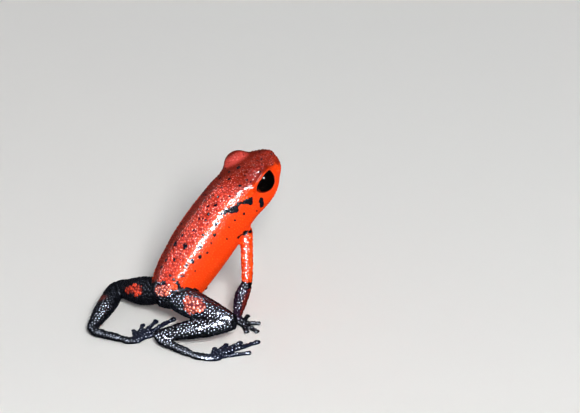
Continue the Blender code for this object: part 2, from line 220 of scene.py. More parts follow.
def add_ball(centre, radius, segments=48, rings=24):
    """A ball of skin, as a stack of rings."""
    loops = []
    for level in range(1, rings):
        tilt = math.pi * level / rings
        loops.append([
            centre + radius * Vector((
                math.sin(tilt) * math.cos(2 * math.pi * i / segments),
                math.sin(tilt) * math.sin(2 * math.pi * i / segments),
                math.cos(tilt),
            ))
            for i in range(segments)
        ])
    up = Vector((0.0, 0.0, radius))
    pile.loft(loops, centre + up, centre - up)


add_trunk()
for sign in SIGNS:
    add_ball(place(*sided(EYE_PLACE, sign)), LID_RADIUS)
print("trunk and lids:", len(pile.faces), "faces")

# %% [markdown]
# Each limb is a chain of lengths that bend at the joints: thigh, shank and the long ankle
# of a leg, or upper arm and forearm. A row gives the place, half width and half thickness.
# The left arm is the right one mirrored.

# %% Limbs
UPPER_ARM_RIGHT = [
    (10.6, 1.4, 10.5, 0.60, 0.60),
    (10.5, 2.5, 10.2, 0.76, 0.74),
    (10.0, 3.5, 8.7, 0.68, 0.66),
    (9.4, 4.4, 6.8, 0.66, 0.62),
    (8.95, 5.0, 5.4, 0.58, 0.56),
    (8.9, 5.05, 4.95, 0.46, 0.46),
]
FOREARM_RIGHT = [
    (8.95, 5.05, 5.5, 0.46, 0.46),
    (8.85, 4.9, 4.7, 0.64, 0.60),
    (8.6, 4.5, 3.4, 0.80, 0.72),
    (8.35, 4.3, 2.0, 0.66, 0.60),
    (8.2, 4.15, 0.95, 0.50, 0.44),
    (8.2, 4.15, 0.55, 0.36, 0.32),
]
THIGH_RIGHT = [
    (1.9, 0.7, 4.1, 1.20, 1.10),
    (2.0, 2.2, 4.05, 1.50, 1.42),
    (2.65, 4.1, 3.9, 1.60, 1.48),
    (3.4, 6.2, 3.75, 1.30, 1.22),
    (4.1, 8.0, 3.55, 0.95, 0.92),
    (4.45, 8.8, 3.4, 0.70, 0.70),
]
SHANK_RIGHT = [
    (4.5, 8.7, 3.3, 0.70, 0.70),
    (3.9, 8.0, 3.05, 0.95, 0.92),
    (2.4, 6.6, 2.5, 1.15, 1.08),
    (0.6, 5.0, 1.95, 1.05, 0.98),
    (-1.0, 3.5, 1.3, 0.78, 0.72),
    (-1.9, 2.65, 0.92, 0.56, 0.52),
]
TARSUS_RIGHT = [
    (-1.7, 2.9, 0.95, 0.30, 0.30),
    (-1.7, 3.5, 0.80, 0.54, 0.48),
    (-1.3, 5.1, 0.64, 0.50, 0.44),
    (-0.7, 7.0, 0.50, 0.46, 0.40),
    (-0.5, 7.6, 0.46, 0.38, 0.36),
]
THIGH_LEFT = [
    (1.6, -0.6, 3.9, 1.20, 1.10),
    (1.5, -2.2, 3.36, 1.52, 1.48),
    (1.1, -4.1, 2.64, 1.55, 1.56),
    (0.85, -6.0, 1.97, 1.26, 1.22),
    (0.65, -7.6, 1.5, 0.95, 0.92),
    (0.6, -8.3, 1.35, 0.70, 0.70),
]
SHANK_LEFT = [
    (0.7, -8.3, 1.35, 0.70, 0.70),
    (-0.2, -7.7, 1.30, 0.92, 0.88),
    (-1.9, -6.3, 1.20, 1.06, 0.98),
    (-4.0, -4.9, 1.05, 0.92, 0.84),
    (-5.7, -3.75, 0.85, 0.62, 0.58),
    (-6.6, -3.15, 0.75, 0.50, 0.46),
]
TARSUS_LEFT = [
    (-6.45, -3.3, 0.76, 0.30, 0.30),
    (-6.5, -2.65, 0.70, 0.50, 0.46),
    (-5.85, -1.5, 0.58, 0.46, 0.42),
    (-5.0, -0.2, 0.48, 0.46, 0.40),
    (-4.65, 0.3, 0.46, 0.38, 0.36),
]
STEEP = 0.7                 # past this rise a limb's width is set across, not level


def mirrored(rows):
    """The same rows on the other side of the frog."""
    return [(row[0], -row[1], *row[2:]) for row in rows]


def add_limb(rows, rings=44, sides=24):
    """A length of limb through its rows, with oval sections and round ends."""
    samples = smooth_rows(rows, rings)
    points = [place(*row[:3]) for row in samples]
    whole = (points[-1] - points[0]).normalized()
    level = Vector((0.0, 0.0, 1.0)) if abs(whole.z) < STEEP else Vector((0.0, 1.0, 0.0))
    loops = []
    for index, (point, row) in enumerate(zip(points, samples)):
        ahead = (points[min(index + 1, rings - 1)] - points[max(index - 1, 0)]).normalized()
        across = ahead.cross(level).normalized()
        up = across.cross(ahead)
        loops.append([
            point + across * row[3] * math.cos(2 * math.pi * i / sides)
            + up * row[4] * math.sin(2 * math.pi * i / sides)
            for i in range(sides)
        ])
    start = points[0] + (points[0] - points[1]).normalized() * samples[0][3] * 0.5
    end = points[-1] + (points[-1] - points[-2]).normalized() * samples[-1][3] * 0.5
    pile.loft(loops, start, end)


LIMBS = {
    "arm_right": [UPPER_ARM_RIGHT, FOREARM_RIGHT],
    "arm_left": [mirrored(UPPER_ARM_RIGHT), mirrored(FOREARM_RIGHT)],
    "leg_right": [THIGH_RIGHT, SHANK_RIGHT, TARSUS_RIGHT],
    "leg_left": [THIGH_LEFT, SHANK_LEFT, TARSUS_LEFT],
}
for lengths in LIMBS.values():
    for rows in lengths:
        add_limb(rows)
print("with the limbs:", len(pile.faces), "faces")

# %% [markdown]
# A dart frog has four fingers and five toes with no web between them. Each ends in a small
# flat disc that grips leaves. All of them come from one row of shares along the digit,
# from a heading and a length.

# %% Hands and feet
SINK = 0.05                 # how much of a digit's underside the floor cuts flat
PALM_RIGHT = [
    (8.2, 4.0, 0.50, 0.36, 0.34),
    (8.2, 4.5, 0.38, 0.56, 0.36),
    (8.3, 5.1, 0.30, 0.62, 0.34),
    (8.4, 5.7, 0.24, 0.46, 0.28),
]
SOLE_RIGHT = [
    (-0.6, 7.4, 0.44, 0.38, 0.36),
    (-0.1, 8.2, 0.36, 0.50, 0.36),
    (0.9, 9.2, 0.28, 0.56, 0.33),
    (1.9, 9.7, 0.24, 0.50, 0.28),
]
SOLE_LEFT = [
    (-4.8, 0.1, 0.44, 0.38, 0.36),
    (-4.4, 0.7, 0.36, 0.50, 0.36),
    (-3.5, 1.1, 0.28, 0.56, 0.33),
    (-2.5, 1.05, 0.24, 0.50, 0.28),
]
# Each digit: its heading from straight ahead towards the frog's right, and its length.
FINGERS = [(-35.0, 1.9), (35.0, 2.0), (84.0, 2.6), (112.0, 2.1)]
TOES_RIGHT = [(-44.0, 2.3), (-25.0, 3.6), (-11.0, 5.0), (1.0, 6.6), (20.0, 4.6)]
TOES_LEFT = [(-62.0, 2.3), (-42.0, 3.6), (-27.0, 5.0), (-13.0, 6.6), (6.0, 4.6)]
FINGERS_LEFT = [(-angle, length) for angle, length in FINGERS]
FINGER_RADIUS, FINGER_DISC = 0.25, 0.42
TOE_RADIUS, TOE_DISC = 0.25, 0.36
DIGIT_PROFILE = (
    # share of the length, width and thickness against the digit's radius; 0 is the disc
    (0.00, 1.00, 1.00), (0.22, 1.05, 1.05), (0.45, 0.94, 0.94), (0.62, 1.02, 1.02),
    (0.80, 0.88, 0.88), (0.88, 1.00, 0.86), (0.95, 0.0, 0.84), (1.00, 0.6, 0.6),
)
EXTREMITIES = {
    "hand_right": (PALM_RIGHT, (8.3, 5.0), FINGERS, FINGER_RADIUS, FINGER_DISC),
    "hand_left": (mirrored(PALM_RIGHT), (8.3, -5.0), FINGERS_LEFT, FINGER_RADIUS, FINGER_DISC),
    "foot_right": (SOLE_RIGHT, (1.0, 9.2), TOES_RIGHT, TOE_RADIUS, TOE_DISC),
    "foot_left": (SOLE_LEFT, (-3.4, 1.05), TOES_LEFT, TOE_RADIUS, TOE_DISC),
}


def digit_rows(base, angle, length, radius, disc):
    """Rows of one finger or toe: knuckle, shaft, joint, neck and the flat disc at its tip."""
    rows = []
    for share, wide, thick in DIGIT_PROFILE:
        rows.append((
            base[0] + math.cos(math.radians(angle)) * length * share,
            base[1] + math.sin(math.radians(angle)) * length * share,
            radius * thick - SINK,
            radius * wide if wide else disc,
            radius * thick,
        ))
    return rows


for sole, root, digits, radius, disc in EXTREMITIES.values():
    add_limb(sole, 24, 20)
    for angle, length in digits:
        add_limb(digit_rows(root, angle, length, radius, disc), 36, 16)
print("with hands and feet:", len(pile.faces), "faces")

# %% [markdown]
# The lofts cross each other, and a real frog has one skin. A voxel remesh fuses them into
# one closed surface, much as clay parts are pressed together. It leaves sharp creases
# where a limb enters the body, so the next cells round those by smoothing there only.

# %% One skin from all the lofts
VOXEL = 0.145
INWARDS, OUTWARDS = 0.5, -0.53      # share of the way to the mean that one pass moves


def mesh_from(name, points, faces):
    mesh = bpy.data.meshes.new(name)
    mesh.from_pydata(points, [], faces)
    mesh.update()
    return mesh


def places_of(mesh):
    """The vertices of a mesh as an array of (forward, right, height)."""
    flat = np.empty(len(mesh.vertices) * 3)
    mesh.vertices.foreach_get("co", flat)
    x, y, z = flat.reshape(-1, 3).T
    return np.stack((MIDDLE_FORWARD - y, MIDDLE_RIGHT - x, z), axis=1)


def set_places(mesh, places):
    forward, right, height = places.T
    flat = np.stack((MIDDLE_RIGHT - right, MIDDLE_FORWARD - forward, height), axis=1)
    mesh.vertices.foreach_set("co", flat.ravel())
    mesh.update()


def normals_of(mesh):
    """Each vertex's outward direction, as (forward, right, height)."""
    flat = np.empty(len(mesh.vertices) * 3)
    mesh.vertex_normals.foreach_get("vector", flat)
    x, y, z = flat.reshape(-1, 3).T
    return np.stack((-y, -x, z), axis=1)


def store(mesh, name, values):
    """Keeps one number per vertex in the mesh, which nodes read by its name."""
    layer = mesh.attributes.new(name, "FLOAT", "POINT")
    layer.data.foreach_set("value", np.asarray(values, dtype=np.float32))


def smoothed(mesh, weight, passes, keep_size):
    """Moves each vertex towards the mean of its neighbours, as far as its weight says.
    To keep the size, every second pass moves them back by a little more."""
    edges = np.empty(len(mesh.edges) * 2, dtype=int)
    mesh.edges.foreach_get("vertices", edges)
    first, second = edges.reshape(-1, 2).T
    ends, others = np.concatenate((first, second)), np.concatenate((second, first))
    places, total = places_of(mesh), len(mesh.vertices)
    neighbours = np.maximum(np.bincount(ends, minlength=total), 1)
    for step in range(passes):
        mean = np.stack([
            np.bincount(ends, weights=places[others, axis], minlength=total) / neighbours
            for axis in range(3)
        ], axis=1)
        share = OUTWARDS if keep_size and step % 2 else INWARDS
        places += (mean - places) * (share * weight)[:, None]
    set_places(mesh, places)


draft = add_object("draft", mesh_from("draft", pile.points, pile.faces))
fuse = draft.modifiers.new("fuse", "REMESH")
fuse.mode = "VOXEL"
fuse.voxel_size = VOXEL
skin_mesh = bpy.data.meshes.new_from_object(
    draft.evaluated_get(bpy.context.evaluated_depsgraph_get()))
skin_mesh.name = "skin"
bpy.data.objects.remove(draft, do_unlink=True)
smoothed(skin_mesh, np.ones(len(skin_mesh.vertices)), 8, keep_size=True)
print("fused skin:", len(skin_mesh.polygons), "faces")

# %% [markdown]
# Sculpting and painting both need to know where on the frog a vertex is. For the trunk
# that is how far along the spine it is, its angle round the body and how far outside the
# section it stands. For a limb it is the nearest point of the limb's middle line.

# %% Where a vertex is


def trunk_measure(places):
    """Along the spine in mm, angle round it in degrees and distance outside the trunk."""
    middle, tilt = spine[:, :2], np.radians(spine[:, 2])
    step = np.hypot(*np.diff(middle, axis=0).T)
    along = np.concatenate(([0.0], np.cumsum(step)))
    ahead = (
        (places[:, 0, None] - middle[None, :, 0]) * np.cos(tilt)
        + (places[:, 2, None] - middle[None, :, 1]) * np.sin(tilt)
    )
    before = np.clip((ahead > 0.0).sum(axis=1) - 1, 0, len(spine) - 2)
    row = np.arange(len(places))
    near, far = ahead[row, before], ahead[row, before + 1]
    share = np.clip(near / np.where(near == far, 1.0, near - far), 0.0, 1.0)
    at = spine[before] * (1 - share[:, None]) + spine[before + 1] * share[:, None]
    slope = np.radians(at[:, 2])
    lift = (places[:, 2] - at[:, 1]) * np.cos(slope) - (places[:, 0] - at[:, 0]) * np.sin(slope)
    reach = np.where(lift > 0.0, at[:, 4], at[:, 5])
    side = places[:, 1] / at[:, 3]
    rise = lift / reach
    power = TRUNK_SQUARENESS / 2
    angle = np.degrees(np.arctan2(
        np.sign(rise) * np.abs(rise) ** power, np.sign(side) * np.abs(side) ** power))
    size = (np.abs(side) ** (2 * power) + np.abs(rise) ** (2 * power)) ** (0.5 / power)
    beyond = np.where(before == 0, -np.minimum(near, 0.0), 0.0) + np.where(
        before == len(spine) - 2, np.maximum(far, 0.0), 0.0)
    outside = (size - 1.0) * np.hypot(places[:, 1], lift) / np.maximum(size, 1e-6) + beyond
    return along[before] + share * step[before], angle, outside


def line_measure(places, line):
    """Distance to a line of points, the share along it and the nearest point on it."""
    best = np.full(len(places), 1e9)
    share, nearest = np.zeros(len(places)), np.zeros((len(places), 3))
    lengths = np.linalg.norm(np.diff(line, axis=0), axis=1)
    starts = np.concatenate(([0.0], np.cumsum(lengths)))
    for index, (start, end) in enumerate(zip(line, line[1:])):
        run = end - start
        t = np.clip((places - start) @ run / (run @ run), 0.0, 1.0)
        point = start + t[:, None] * run
        distance = np.linalg.norm(places - point, axis=1)
        closer = distance < best
        best = np.where(closer, distance, best)
        share = np.where(closer, (starts[index] + t * lengths[index]) / starts[-1], share)
        nearest = np.where(closer[:, None], point, nearest)
    return best, share, nearest


def ramp(value, low, high):
    """0 below low, 1 above high and smooth between; low may be the larger of the two."""
    t = np.clip((value - low) / (high - low), 0.0, 1.0)
    return t * t * (3.0 - 2.0 * t)


def bump(distance, height, width):
    """A rounded swelling of a height, which has faded at about twice its width."""
    return height * np.exp(-(distance / width) ** 2)


# %% [markdown]
# Where a limb enters the body, skin stretches over the crease in a soft web. The hips and
# the swelling under the lids are smoothed most, shoulders, elbows and knees less, and the
# rest of the skin not at all.

# %% Soft creases at the joints
CREASES = [
    # forward, right, height, reach of the smoothing, strength
    (10.3, 3.0, 9.7, 0.9, 0.7), (10.3, -3.0, 9.7, 0.9, 0.7),
    (2.2, 2.4, 4.2, 2.2, 1.0), (1.5, -2.3, 3.6, 2.2, 1.0),
    (4.4, 8.7, 3.4, 0.9, 0.7), (0.6, -8.2, 1.4, 0.9, 0.7),
    (-1.8, 2.9, 0.9, 0.9, 0.8), (-6.55, -3.1, 0.8, 0.9, 0.8),
    (8.9, 5.0, 5.0, 0.8, 0.6), (8.9, -5.0, 5.0, 0.8, 0.6),
    (8.2, 4.2, 0.6, 0.7, 0.6), (8.2, -4.2, 0.6, 0.7, 0.6),
    (-0.5, 7.6, 0.4, 0.7, 0.6), (-4.7, 0.3, 0.4, 0.7, 0.6),
    (13.0, 1.4, 15.6, 2.6, 1.0), (13.0, -1.4, 15.6, 2.6, 1.0),
]
places = places_of(skin_mesh)
weight = np.zeros(len(places))
for *centre, reach, strength in CREASES:
    away_from = np.linalg.norm(places - np.array(centre), axis=1)
    weight = np.maximum(weight, strength * ramp(away_from, reach, reach * 0.4))
smoothed(skin_mesh, weight, 26, keep_size=False)
print("softened vertices:", int((weight > 0.05).sum()))

# %% [markdown]
# The head is looked at most, so its skin gets faces of half the size round the eyes, the
# mouth and the nostrils. Only those patches are divided, which keeps the mesh light.

# %% Finer faces on the face
EYE_RADIUS = 1.45
EYE_AIM = (0.10, 0.99, 0.06)
OPENING_SLOPE = 36.0                        # of the long axis, up towards the snout
OPENING_FRONT, OPENING_BACK = 77.0, 73.0    # degrees from the aim
OPENING_UP, OPENING_DOWN = 54.0, 45.0
LID_THICKNESS = 0.12
NOSTRIL_PLACE = (15.86, 1.45, 16.87)
MOUTH_ANGLE = -14.0
MOUTH_CORNER_FORWARD = 12.2
FINE_ROUND_EYE, FINE_ROUND_NOSTRIL, FINE_ROUND_MOUTH = 2.3, 0.5, 0.55
FINEST_ROUND_MOUTH = 0.22

mouth_line = np.array([
    trunk_point(row, MOUTH_ANGLE) for row in spine if row[0] > MOUTH_CORNER_FORWARD
])
mouth_line = np.concatenate((
    mouth_line, [(LIP_POLE[0], 0.0, LIP_POLE[1])], sided(mouth_line[::-1], -1.0)))


def eye_axes(sign):
    """The eye's aim, and the long and short axes of its opening."""
    aim = sided(EYE_AIM, sign)
    aim = aim / np.linalg.norm(aim)
    slope = math.radians(OPENING_SLOPE)
    long_axis = np.array((math.cos(slope), 0.0, math.sin(slope)))
    long_axis = long_axis - aim * (long_axis @ aim)
    long_axis = long_axis / np.linalg.norm(long_axis)
    return aim, long_axis, np.cross(aim, long_axis) * sign


def opening_edge(turned, long_axis, short_axis):
    """At each turn round the aim, the angle from it to the edge and the way out to there."""
    long_part, short_part = np.cos(turned), np.sin(turned)
    long_angle = np.radians(np.where(long_part > 0.0, OPENING_FRONT, OPENING_BACK))
    short_angle = np.radians(np.where(short_part > 0.0, OPENING_DOWN, OPENING_UP))
    opening = 1.0 / np.hypot(long_part / long_angle, short_part / short_angle)
    return opening, long_part[:, None] * long_axis + short_part[:, None] * short_axis


def around_eye(places, sign):
    """Distance from the eye's centre, angle from its aim, the opening's angle on that side,
    the aim, the way out from the aim, and how far that way leads to the lower front."""
    aim, long_axis, short_axis = eye_axes(sign)
    out = places - sided(EYE_PLACE, sign)
    long_part, short_part = out @ long_axis, out @ short_axis
    off = np.arctan2(np.hypot(long_part, short_part), out @ aim)
    turned = np.arctan2(short_part, long_part)
    opening, across = opening_edge(turned, long_axis, short_axis)
    return np.linalg.norm(out, axis=1), off, opening, aim, across, np.sin(turned)


def face_zone(places):
    """True at places near the eyes, the mouth and the nostrils."""
    near = line_measure(places, mouth_line[::4])[0] < FINE_ROUND_MOUTH
    for sign in SIGNS:
        for centre, reach in ((EYE_PLACE, FINE_ROUND_EYE), (NOSTRIL_PLACE, FINE_ROUND_NOSTRIL)):
            near |= np.linalg.norm(places - sided(centre, sign), axis=1) < reach
    return near


def lid_edge_zone(places):
    """True at places close to the edge of an eye's opening."""
    near = np.zeros(len(places), dtype=bool)
    for sign in SIGNS:
        distance, off, opening, *_ = around_eye(places, sign)
        near |= (distance < 2.6) & (np.abs(off / opening - 1.0) < 0.22)
    return near


def lip_zone(places):
    """True at places close to the line of the mouth."""
    return line_measure(places, mouth_line[::4])[0] < FINEST_ROUND_MOUTH


def divide(mesh, zone):
    """Halves the faces in a zone and evens them out."""
    shape = bmesh.new()
    shape.from_mesh(mesh)
    near = zone(places_of(mesh))
    chosen = [edge for edge in shape.edges
              if near[edge.verts[0].index] and near[edge.verts[1].index]]
    bmesh.ops.subdivide_edges(shape, edges=chosen, cuts=1, use_grid_fill=True, smooth=0.0)
    bmesh.ops.triangulate(shape, faces=[face for face in shape.faces if len(face.verts) > 4])
    shape.to_mesh(mesh)
    shape.free()
    smoothed(mesh, zone(places_of(mesh)).astype(float), 4, keep_size=True)
    print("divided to", len(mesh.polygons), "faces")


for zone in (face_zone, lid_edge_zone, lip_zone):
    divide(skin_mesh, zone)

# %% [markdown]
# The eye is a globe that stands in the lids. To open the lids, the skin inside an oval
# round the eye's aim is pushed in under the globe, and the edge of the oval stays as a
# thin lid. Below the eye the cheek would bury the globe, so it is dished down to it.

# %% Open the eyelids
GATHER = 0.22               # share of the opening from which vertices slide to its edge
BOWL_SLOPE, BOWL_CURVE = 3.0, 7.0
UNDER_GLOBE = 1.20
LID_REACH, CHEEK_REACH = 3.2, 4.2       # from the eye's centre, where skin moves
CHEEK_PASSES = 70
EDGE_SWELL, EDGE_CREASE = (0.035, 0.07), (0.05, 0.015)      # height or depth, then width


def open_lids(mesh):
    places = places_of(mesh)
    for sign in SIGNS:
        distance, off, opening, aim, across, lower_front = around_eye(places, sign)
        share = off / opening
        here = distance < LID_REACH
        # Vertices near the edge slide up to it, so that the edge is a clean line.
        gather = np.clip(np.abs(share - 1.0) / GATHER, 0.0, 1.0)
        share = np.where(here, 1.0 + (share - 1.0) * gather ** 1.6, share)
        # The skin round the opening lies in a bowl, which is flatter at the lower front.
        lid = EYE_RADIUS + LID_THICKNESS
        beyond = np.maximum((share - 1.04) * opening, 0.0)
        slope = BOWL_SLOPE * (1.0 - 0.3 * lower_front)
        bowl = lid + slope * beyond + BOWL_CURVE * beyond ** 2
        spare = distance - bowl
        wanted = distance - np.where(
            spare > -0.2, np.where(spare > 0.2, spare, (spare + 0.2) ** 2 / 0.8), 0.0)
        wanted += bump(share - 1.09, *EDGE_SWELL) - bump(share - 1.0, *EDGE_CREASE)
        # Inside the opening the skin dives under the globe.
        wanted = np.where(off < opening, UNDER_GLOBE, wanted)
        turned = (share * opening)[:, None]
        moved = (np.cos(turned) * aim + np.sin(turned) * across) * wanted[:, None]
        places = np.where(here[:, None], moved + sided(EYE_PLACE, sign), places)
    set_places(mesh, places)


def even_out_face(mesh):
    """Smooths the cheeks and the brow outside the lids."""
    places = places_of(mesh)
    weight = np.zeros(len(places))
    for sign in SIGNS:
        distance, off, opening, *_ = around_eye(places, sign)
        ring = ramp(distance, CHEEK_REACH, LID_REACH) * np.maximum(
            ramp(distance, 1.75, 2.05), ramp(off - opening, 0.30, 0.50))
        weight = np.maximum(weight, ring)
    smoothed(mesh, weight, CHEEK_PASSES, keep_size=False)


open_lids(skin_mesh)
even_out_face(skin_mesh)

# %% [markdown]
# A frog's eyelid ends in a smooth, rounded margin that wipes the globe. A thin ring swept
# round the opening makes it, and it lies half in the skin and half on the globe.

# %% Margins of the eyelids
MARGIN_RADIUS, MARGIN_OUT = 0.075, 0.065
MARGIN_STEPS, MARGIN_SIDES = 160, 10


def make_margin(side, sign):
    """A ring of round section along the edge of one opening."""
    turns = np.linspace(0.0, 2 * math.pi, MARGIN_STEPS, endpoint=False)
    aim, long_axis, short_axis = eye_axes(sign)
    opening, across = opening_edge(turns, long_axis, short_axis)
    outward = np.cos(opening)[:, None] * aim + np.sin(opening)[:, None] * across
    middle = sided(EYE_PLACE, sign) + outward * (EYE_RADIUS + MARGIN_OUT)
    ahead = np.roll(middle, -1, axis=0) - np.roll(middle, 1, axis=0)
    ahead /= np.linalg.norm(ahead, axis=1)[:, None]
    beside = np.cross(ahead, outward)
    points, faces = [], []
    for step in range(MARGIN_STEPS):
        for corner in range(MARGIN_SIDES):
            turned = 2 * math.pi * corner / MARGIN_SIDES
            points.append(place(*(
                middle[step] + MARGIN_RADIUS
                * (math.cos(turned) * outward[step] + math.sin(turned) * beside[step]))))
            after = (step + 1) % MARGIN_STEPS
            beyond = (corner + 1) % MARGIN_SIDES
            faces.append((
                step * MARGIN_SIDES + corner, step * MARGIN_SIDES + beyond,
                after * MARGIN_SIDES + beyond, after * MARGIN_SIDES + corner))
    return mesh_from(f"lid_margin_{side}", points, faces)


margins = {side: make_margin(side, sign) for side, sign in SIDES}
print("lid margins:", [len(mesh.polygons) for mesh in margins.values()], "faces")

# %% [markdown]
# The line of the mouth is a fine groove between two soft lips. It follows the same angle
# round every section of the head. The nostrils are two small pits with a slight rim, and
# the eardrum is a shallow disc behind and below the eye.

# %% Mouth, nostrils and eardrums
EARDRUM = (11.55, 14.05)    # forward, height
EARDRUM_RADIUS, NOSTRIL_RADIUS = 0.50, 0.24
# Each swelling or hollow: its height or depth in mm, then its width.
LIP_SWELL, MOUTH_GROOVE = (0.045, 0.34), (0.20, 0.085)
NOSTRIL_RIM, NOSTRIL_PIT = (0.05, 0.09), (0.22, 0.12)
EARDRUM_RIM, EARDRUM_DISH = (0.03, 0.10), (0.05, 0.15)


def press(mesh, depth):
    """Moves the skin in or out along its own normals; depth is in mm, positive outwards."""
    set_places(mesh, places_of(mesh) + normals_of(mesh) * depth[:, None])


places = places_of(skin_mesh)
tree = BVHTree.FromPolygons(
    [vertex.co for vertex in skin_mesh.vertices],
    [polygon.vertices for polygon in skin_mesh.polygons])
lips = np.array([
    (MIDDLE_FORWARD - hit.y, MIDDLE_RIGHT - hit.x, hit.z)
    for hit in (tree.find_nearest(place(*point))[0] for point in mouth_line)
])
from_mouth, mouth_share, _ = line_measure(places, lips)
mouth_fade = ramp(np.minimum(mouth_share, 1.0 - mouth_share), 0.0, 0.06)
depth = mouth_fade * (bump(from_mouth, *LIP_SWELL) - bump(from_mouth, *MOUTH_GROOVE))
for sign in SIGNS:
    from_nostril = np.linalg.norm(places - sided(NOSTRIL_PLACE, sign), axis=1)
    depth += bump(from_nostril - NOSTRIL_RADIUS, *NOSTRIL_RIM) - bump(from_nostril, *NOSTRIL_PIT)
    flat = np.hypot(places[:, 0] - EARDRUM[0], places[:, 2] - EARDRUM[1])
    on_side = places[:, 1] * sign > 2.0
    dish = EARDRUM_DISH[0] * ramp(flat, EARDRUM_RADIUS, EARDRUM_RADIUS - EARDRUM_DISH[1])
    depth += on_side * (bump(flat - EARDRUM_RADIUS, *EARDRUM_RIM) - dish)
press(skin_mesh, depth)
smoothed(skin_mesh, (line_measure(places, lips)[0] < 0.3).astype(float), 3, keep_size=True)
print("mouth line:", len(mouth_line), "points")

# %% [markdown]
# The markings are named marks, as on a real frog, where each animal has its own. A mark is
# a short line with a radius, so it gives a soft number of millimetres inside or outside
# its edge. Spots that the photograph shows on the right flank are mirrored to the left,
# moved a little, because that side isn't seen.

# %% Named marks
FLANK_SPOTS = [
    # forward, right, height, radius
    (9.80, 3.31, 12.87, 0.18), (8.65, 3.19, 12.43, 0.12), (7.83, 3.19, 11.81, 0.13),
    (6.73, 2.35, 12.25, 0.20), (6.15, 2.77, 11.17, 0.20), (7.40, 3.39, 10.53, 0.12),
    (5.58, 2.89, 10.40, 0.13), (5.17, 2.05, 11.04, 0.17), (4.42, 2.33, 9.96, 0.20),
    (4.95, 3.00, 9.39, 0.16), (4.19, 2.74, 9.02, 0.22), (3.36, 2.36, 8.55, 0.25),
    (2.72, 2.11, 8.02, 0.26), (3.42, 2.84, 7.55, 0.11), (2.20, 2.25, 7.05, 0.20),
    (1.45, 1.68, 6.59, 0.18), (9.98, 3.97, 8.92, 0.15), (11.63, 3.23, 12.62, 0.14),
]
BACK_SPOTS = [
    (10.19, 2.49, 14.84, 0.11), (10.45, 1.67, 15.53, 0.16), (11.79, -0.46, 16.43, 0.24),
    (10.20, -0.06, 15.67, 0.16), (10.86, -0.98, 15.94, 0.15), (8.96, -0.06, 14.93, 0.17),
    (9.90, -1.37, 15.32, 0.15), (7.53, 0.98, 13.71, 0.24), (6.63, 1.08, 12.91, 0.23),
    (7.07, 0.28, 13.43, 0.15), (8.27, 1.27, 14.23, 0.15), (5.76, 0.38, 12.25, 0.18),
    (6.04, 1.13, 12.37, 0.16), (5.83, -1.43, 12.06, 0.14), (4.72, 0.69, 11.22, 0.20),
    (3.91, -0.29, 10.41, 0.18), (3.17, -0.59, 9.50, 0.30), (3.48, 0.88, 9.81, 0.30),
    (3.85, -1.94, 9.69, 0.18), (1.91, -0.57, 7.90, 0.20), (2.21, 0.54, 8.30, 0.20),
    (1.38, -0.80, 7.08, 0.15), (1.32, 1.01, 6.90, 0.15), (0.75, 0.65, 6.04, 0.25),
]
BLACK_MARKS = [
    # points of a line, then the radius
    ([(7.62, 2.16, 13.20), (8.02, 2.36, 13.35)], 0.16),
    ([(8.06, 2.31, 13.43), (8.49, 2.66, 13.39), (9.05, 2.92, 13.45)], 0.27),
    ([(8.70, 2.57, 13.68), (9.15, 2.80, 13.74)], 0.17),
    ([(9.40, 2.73, 14.03), (10.08, 2.93, 14.13)], 0.16),
    ([(10.08, 2.93, 14.13), (10.86, 3.08, 14.06)], 0.24),
    ([(10.60, 3.05, 14.10)], 0.32),
    ([(10.95, 3.02, 14.24), (10.88, 3.12, 13.86)], 0.30),
    ([(12.28, 3.10, 13.74), (12.38, 3.14, 13.03)], 0.30),
    ([(1.59, 2.06, 6.28), (1.65, 2.25, 5.96), (1.68, 2.40, 5.64)], 0.20),
    ([(0.62, 0.30, 5.90), (0.76, 0.80, 6.00)], 0.20),
]
SHOULDER_RING = (
    [(8.90, 3.42, 10.15), (9.34, 3.35, 10.31), (9.95, 3.27, 10.39), (10.81, 3.12, 10.32)], 0.20)
RED_PATCHES = [
    # on the rump, the right thigh and the left thigh
    ([(0.28, 0.15, 4.95), (0.40, 0.70, 5.12), (0.56, 1.18, 5.20)], 0.60),
    ([(1.55, 4.09, 5.06), (2.18, 5.11, 5.06), (2.05, 5.66, 4.72), (1.25, 4.70, 4.30),
      (1.55, 4.09, 5.06)], 0.55),
    ([(-0.39, -4.94, 2.78), (-0.19, -3.84, 3.53)], 0.40),
    ([(-0.19, -3.84, 3.53), (-0.14, -3.04, 3.56)], 0.48),
    ([(-0.31, -3.30, 3.12)], 0.35),
]
LIT_SHANK = ([(-3.4, -4.56, 1.72), (-4.6, -3.7, 1.25)], 0.7)
DULL_PATCH = ([(-2.80, -6.77, 1.66), (-2.79, -6.39, 1.95)], 0.50)
# the tops of the lids, where a pinkish sheen is painted
LID_SHEEN_TOP = (
    [(11.6, 2.19, 16.30), (12.0, 1.80, 16.73), (12.57, 1.63, 17.0), (13.2, 1.68, 17.1)], 0.55)
OTHER_SIDE = (0.35, -1.0, 0.15)     # moved forward, mirrored, moved up


def inside_mark(places, points, radius, sign=1):
    """How far inside a mark each place is, in mm; negative outside."""
    line = sided(points, sign)
    if len(line) == 1:
        return radius - np.linalg.norm(places - line[0], axis=1)
    return radius - line_measure(places, line)[0]


def other_side(points):
    return [(f + OTHER_SIDE[0], OTHER_SIDE[1] * r, h + OTHER_SIDE[2]) for f, r, h in points]


def inside_marks(places, marks):
    return np.max([inside_mark(places, points, radius) for points, radius in marks], axis=0)


places = places_of(skin_mesh)
flank_marks = [([spot[:3]], spot[3]) for spot in FLANK_SPOTS] + BLACK_MARKS
flank_marks += [(other_side(points), radius) for points, radius in flank_marks]
back_marks = [([spot[:3]], spot[3]) for spot in BACK_SPOTS]
spots = inside_marks(places, flank_marks + back_marks)
print("marks:", len(flank_marks) + len(back_marks))
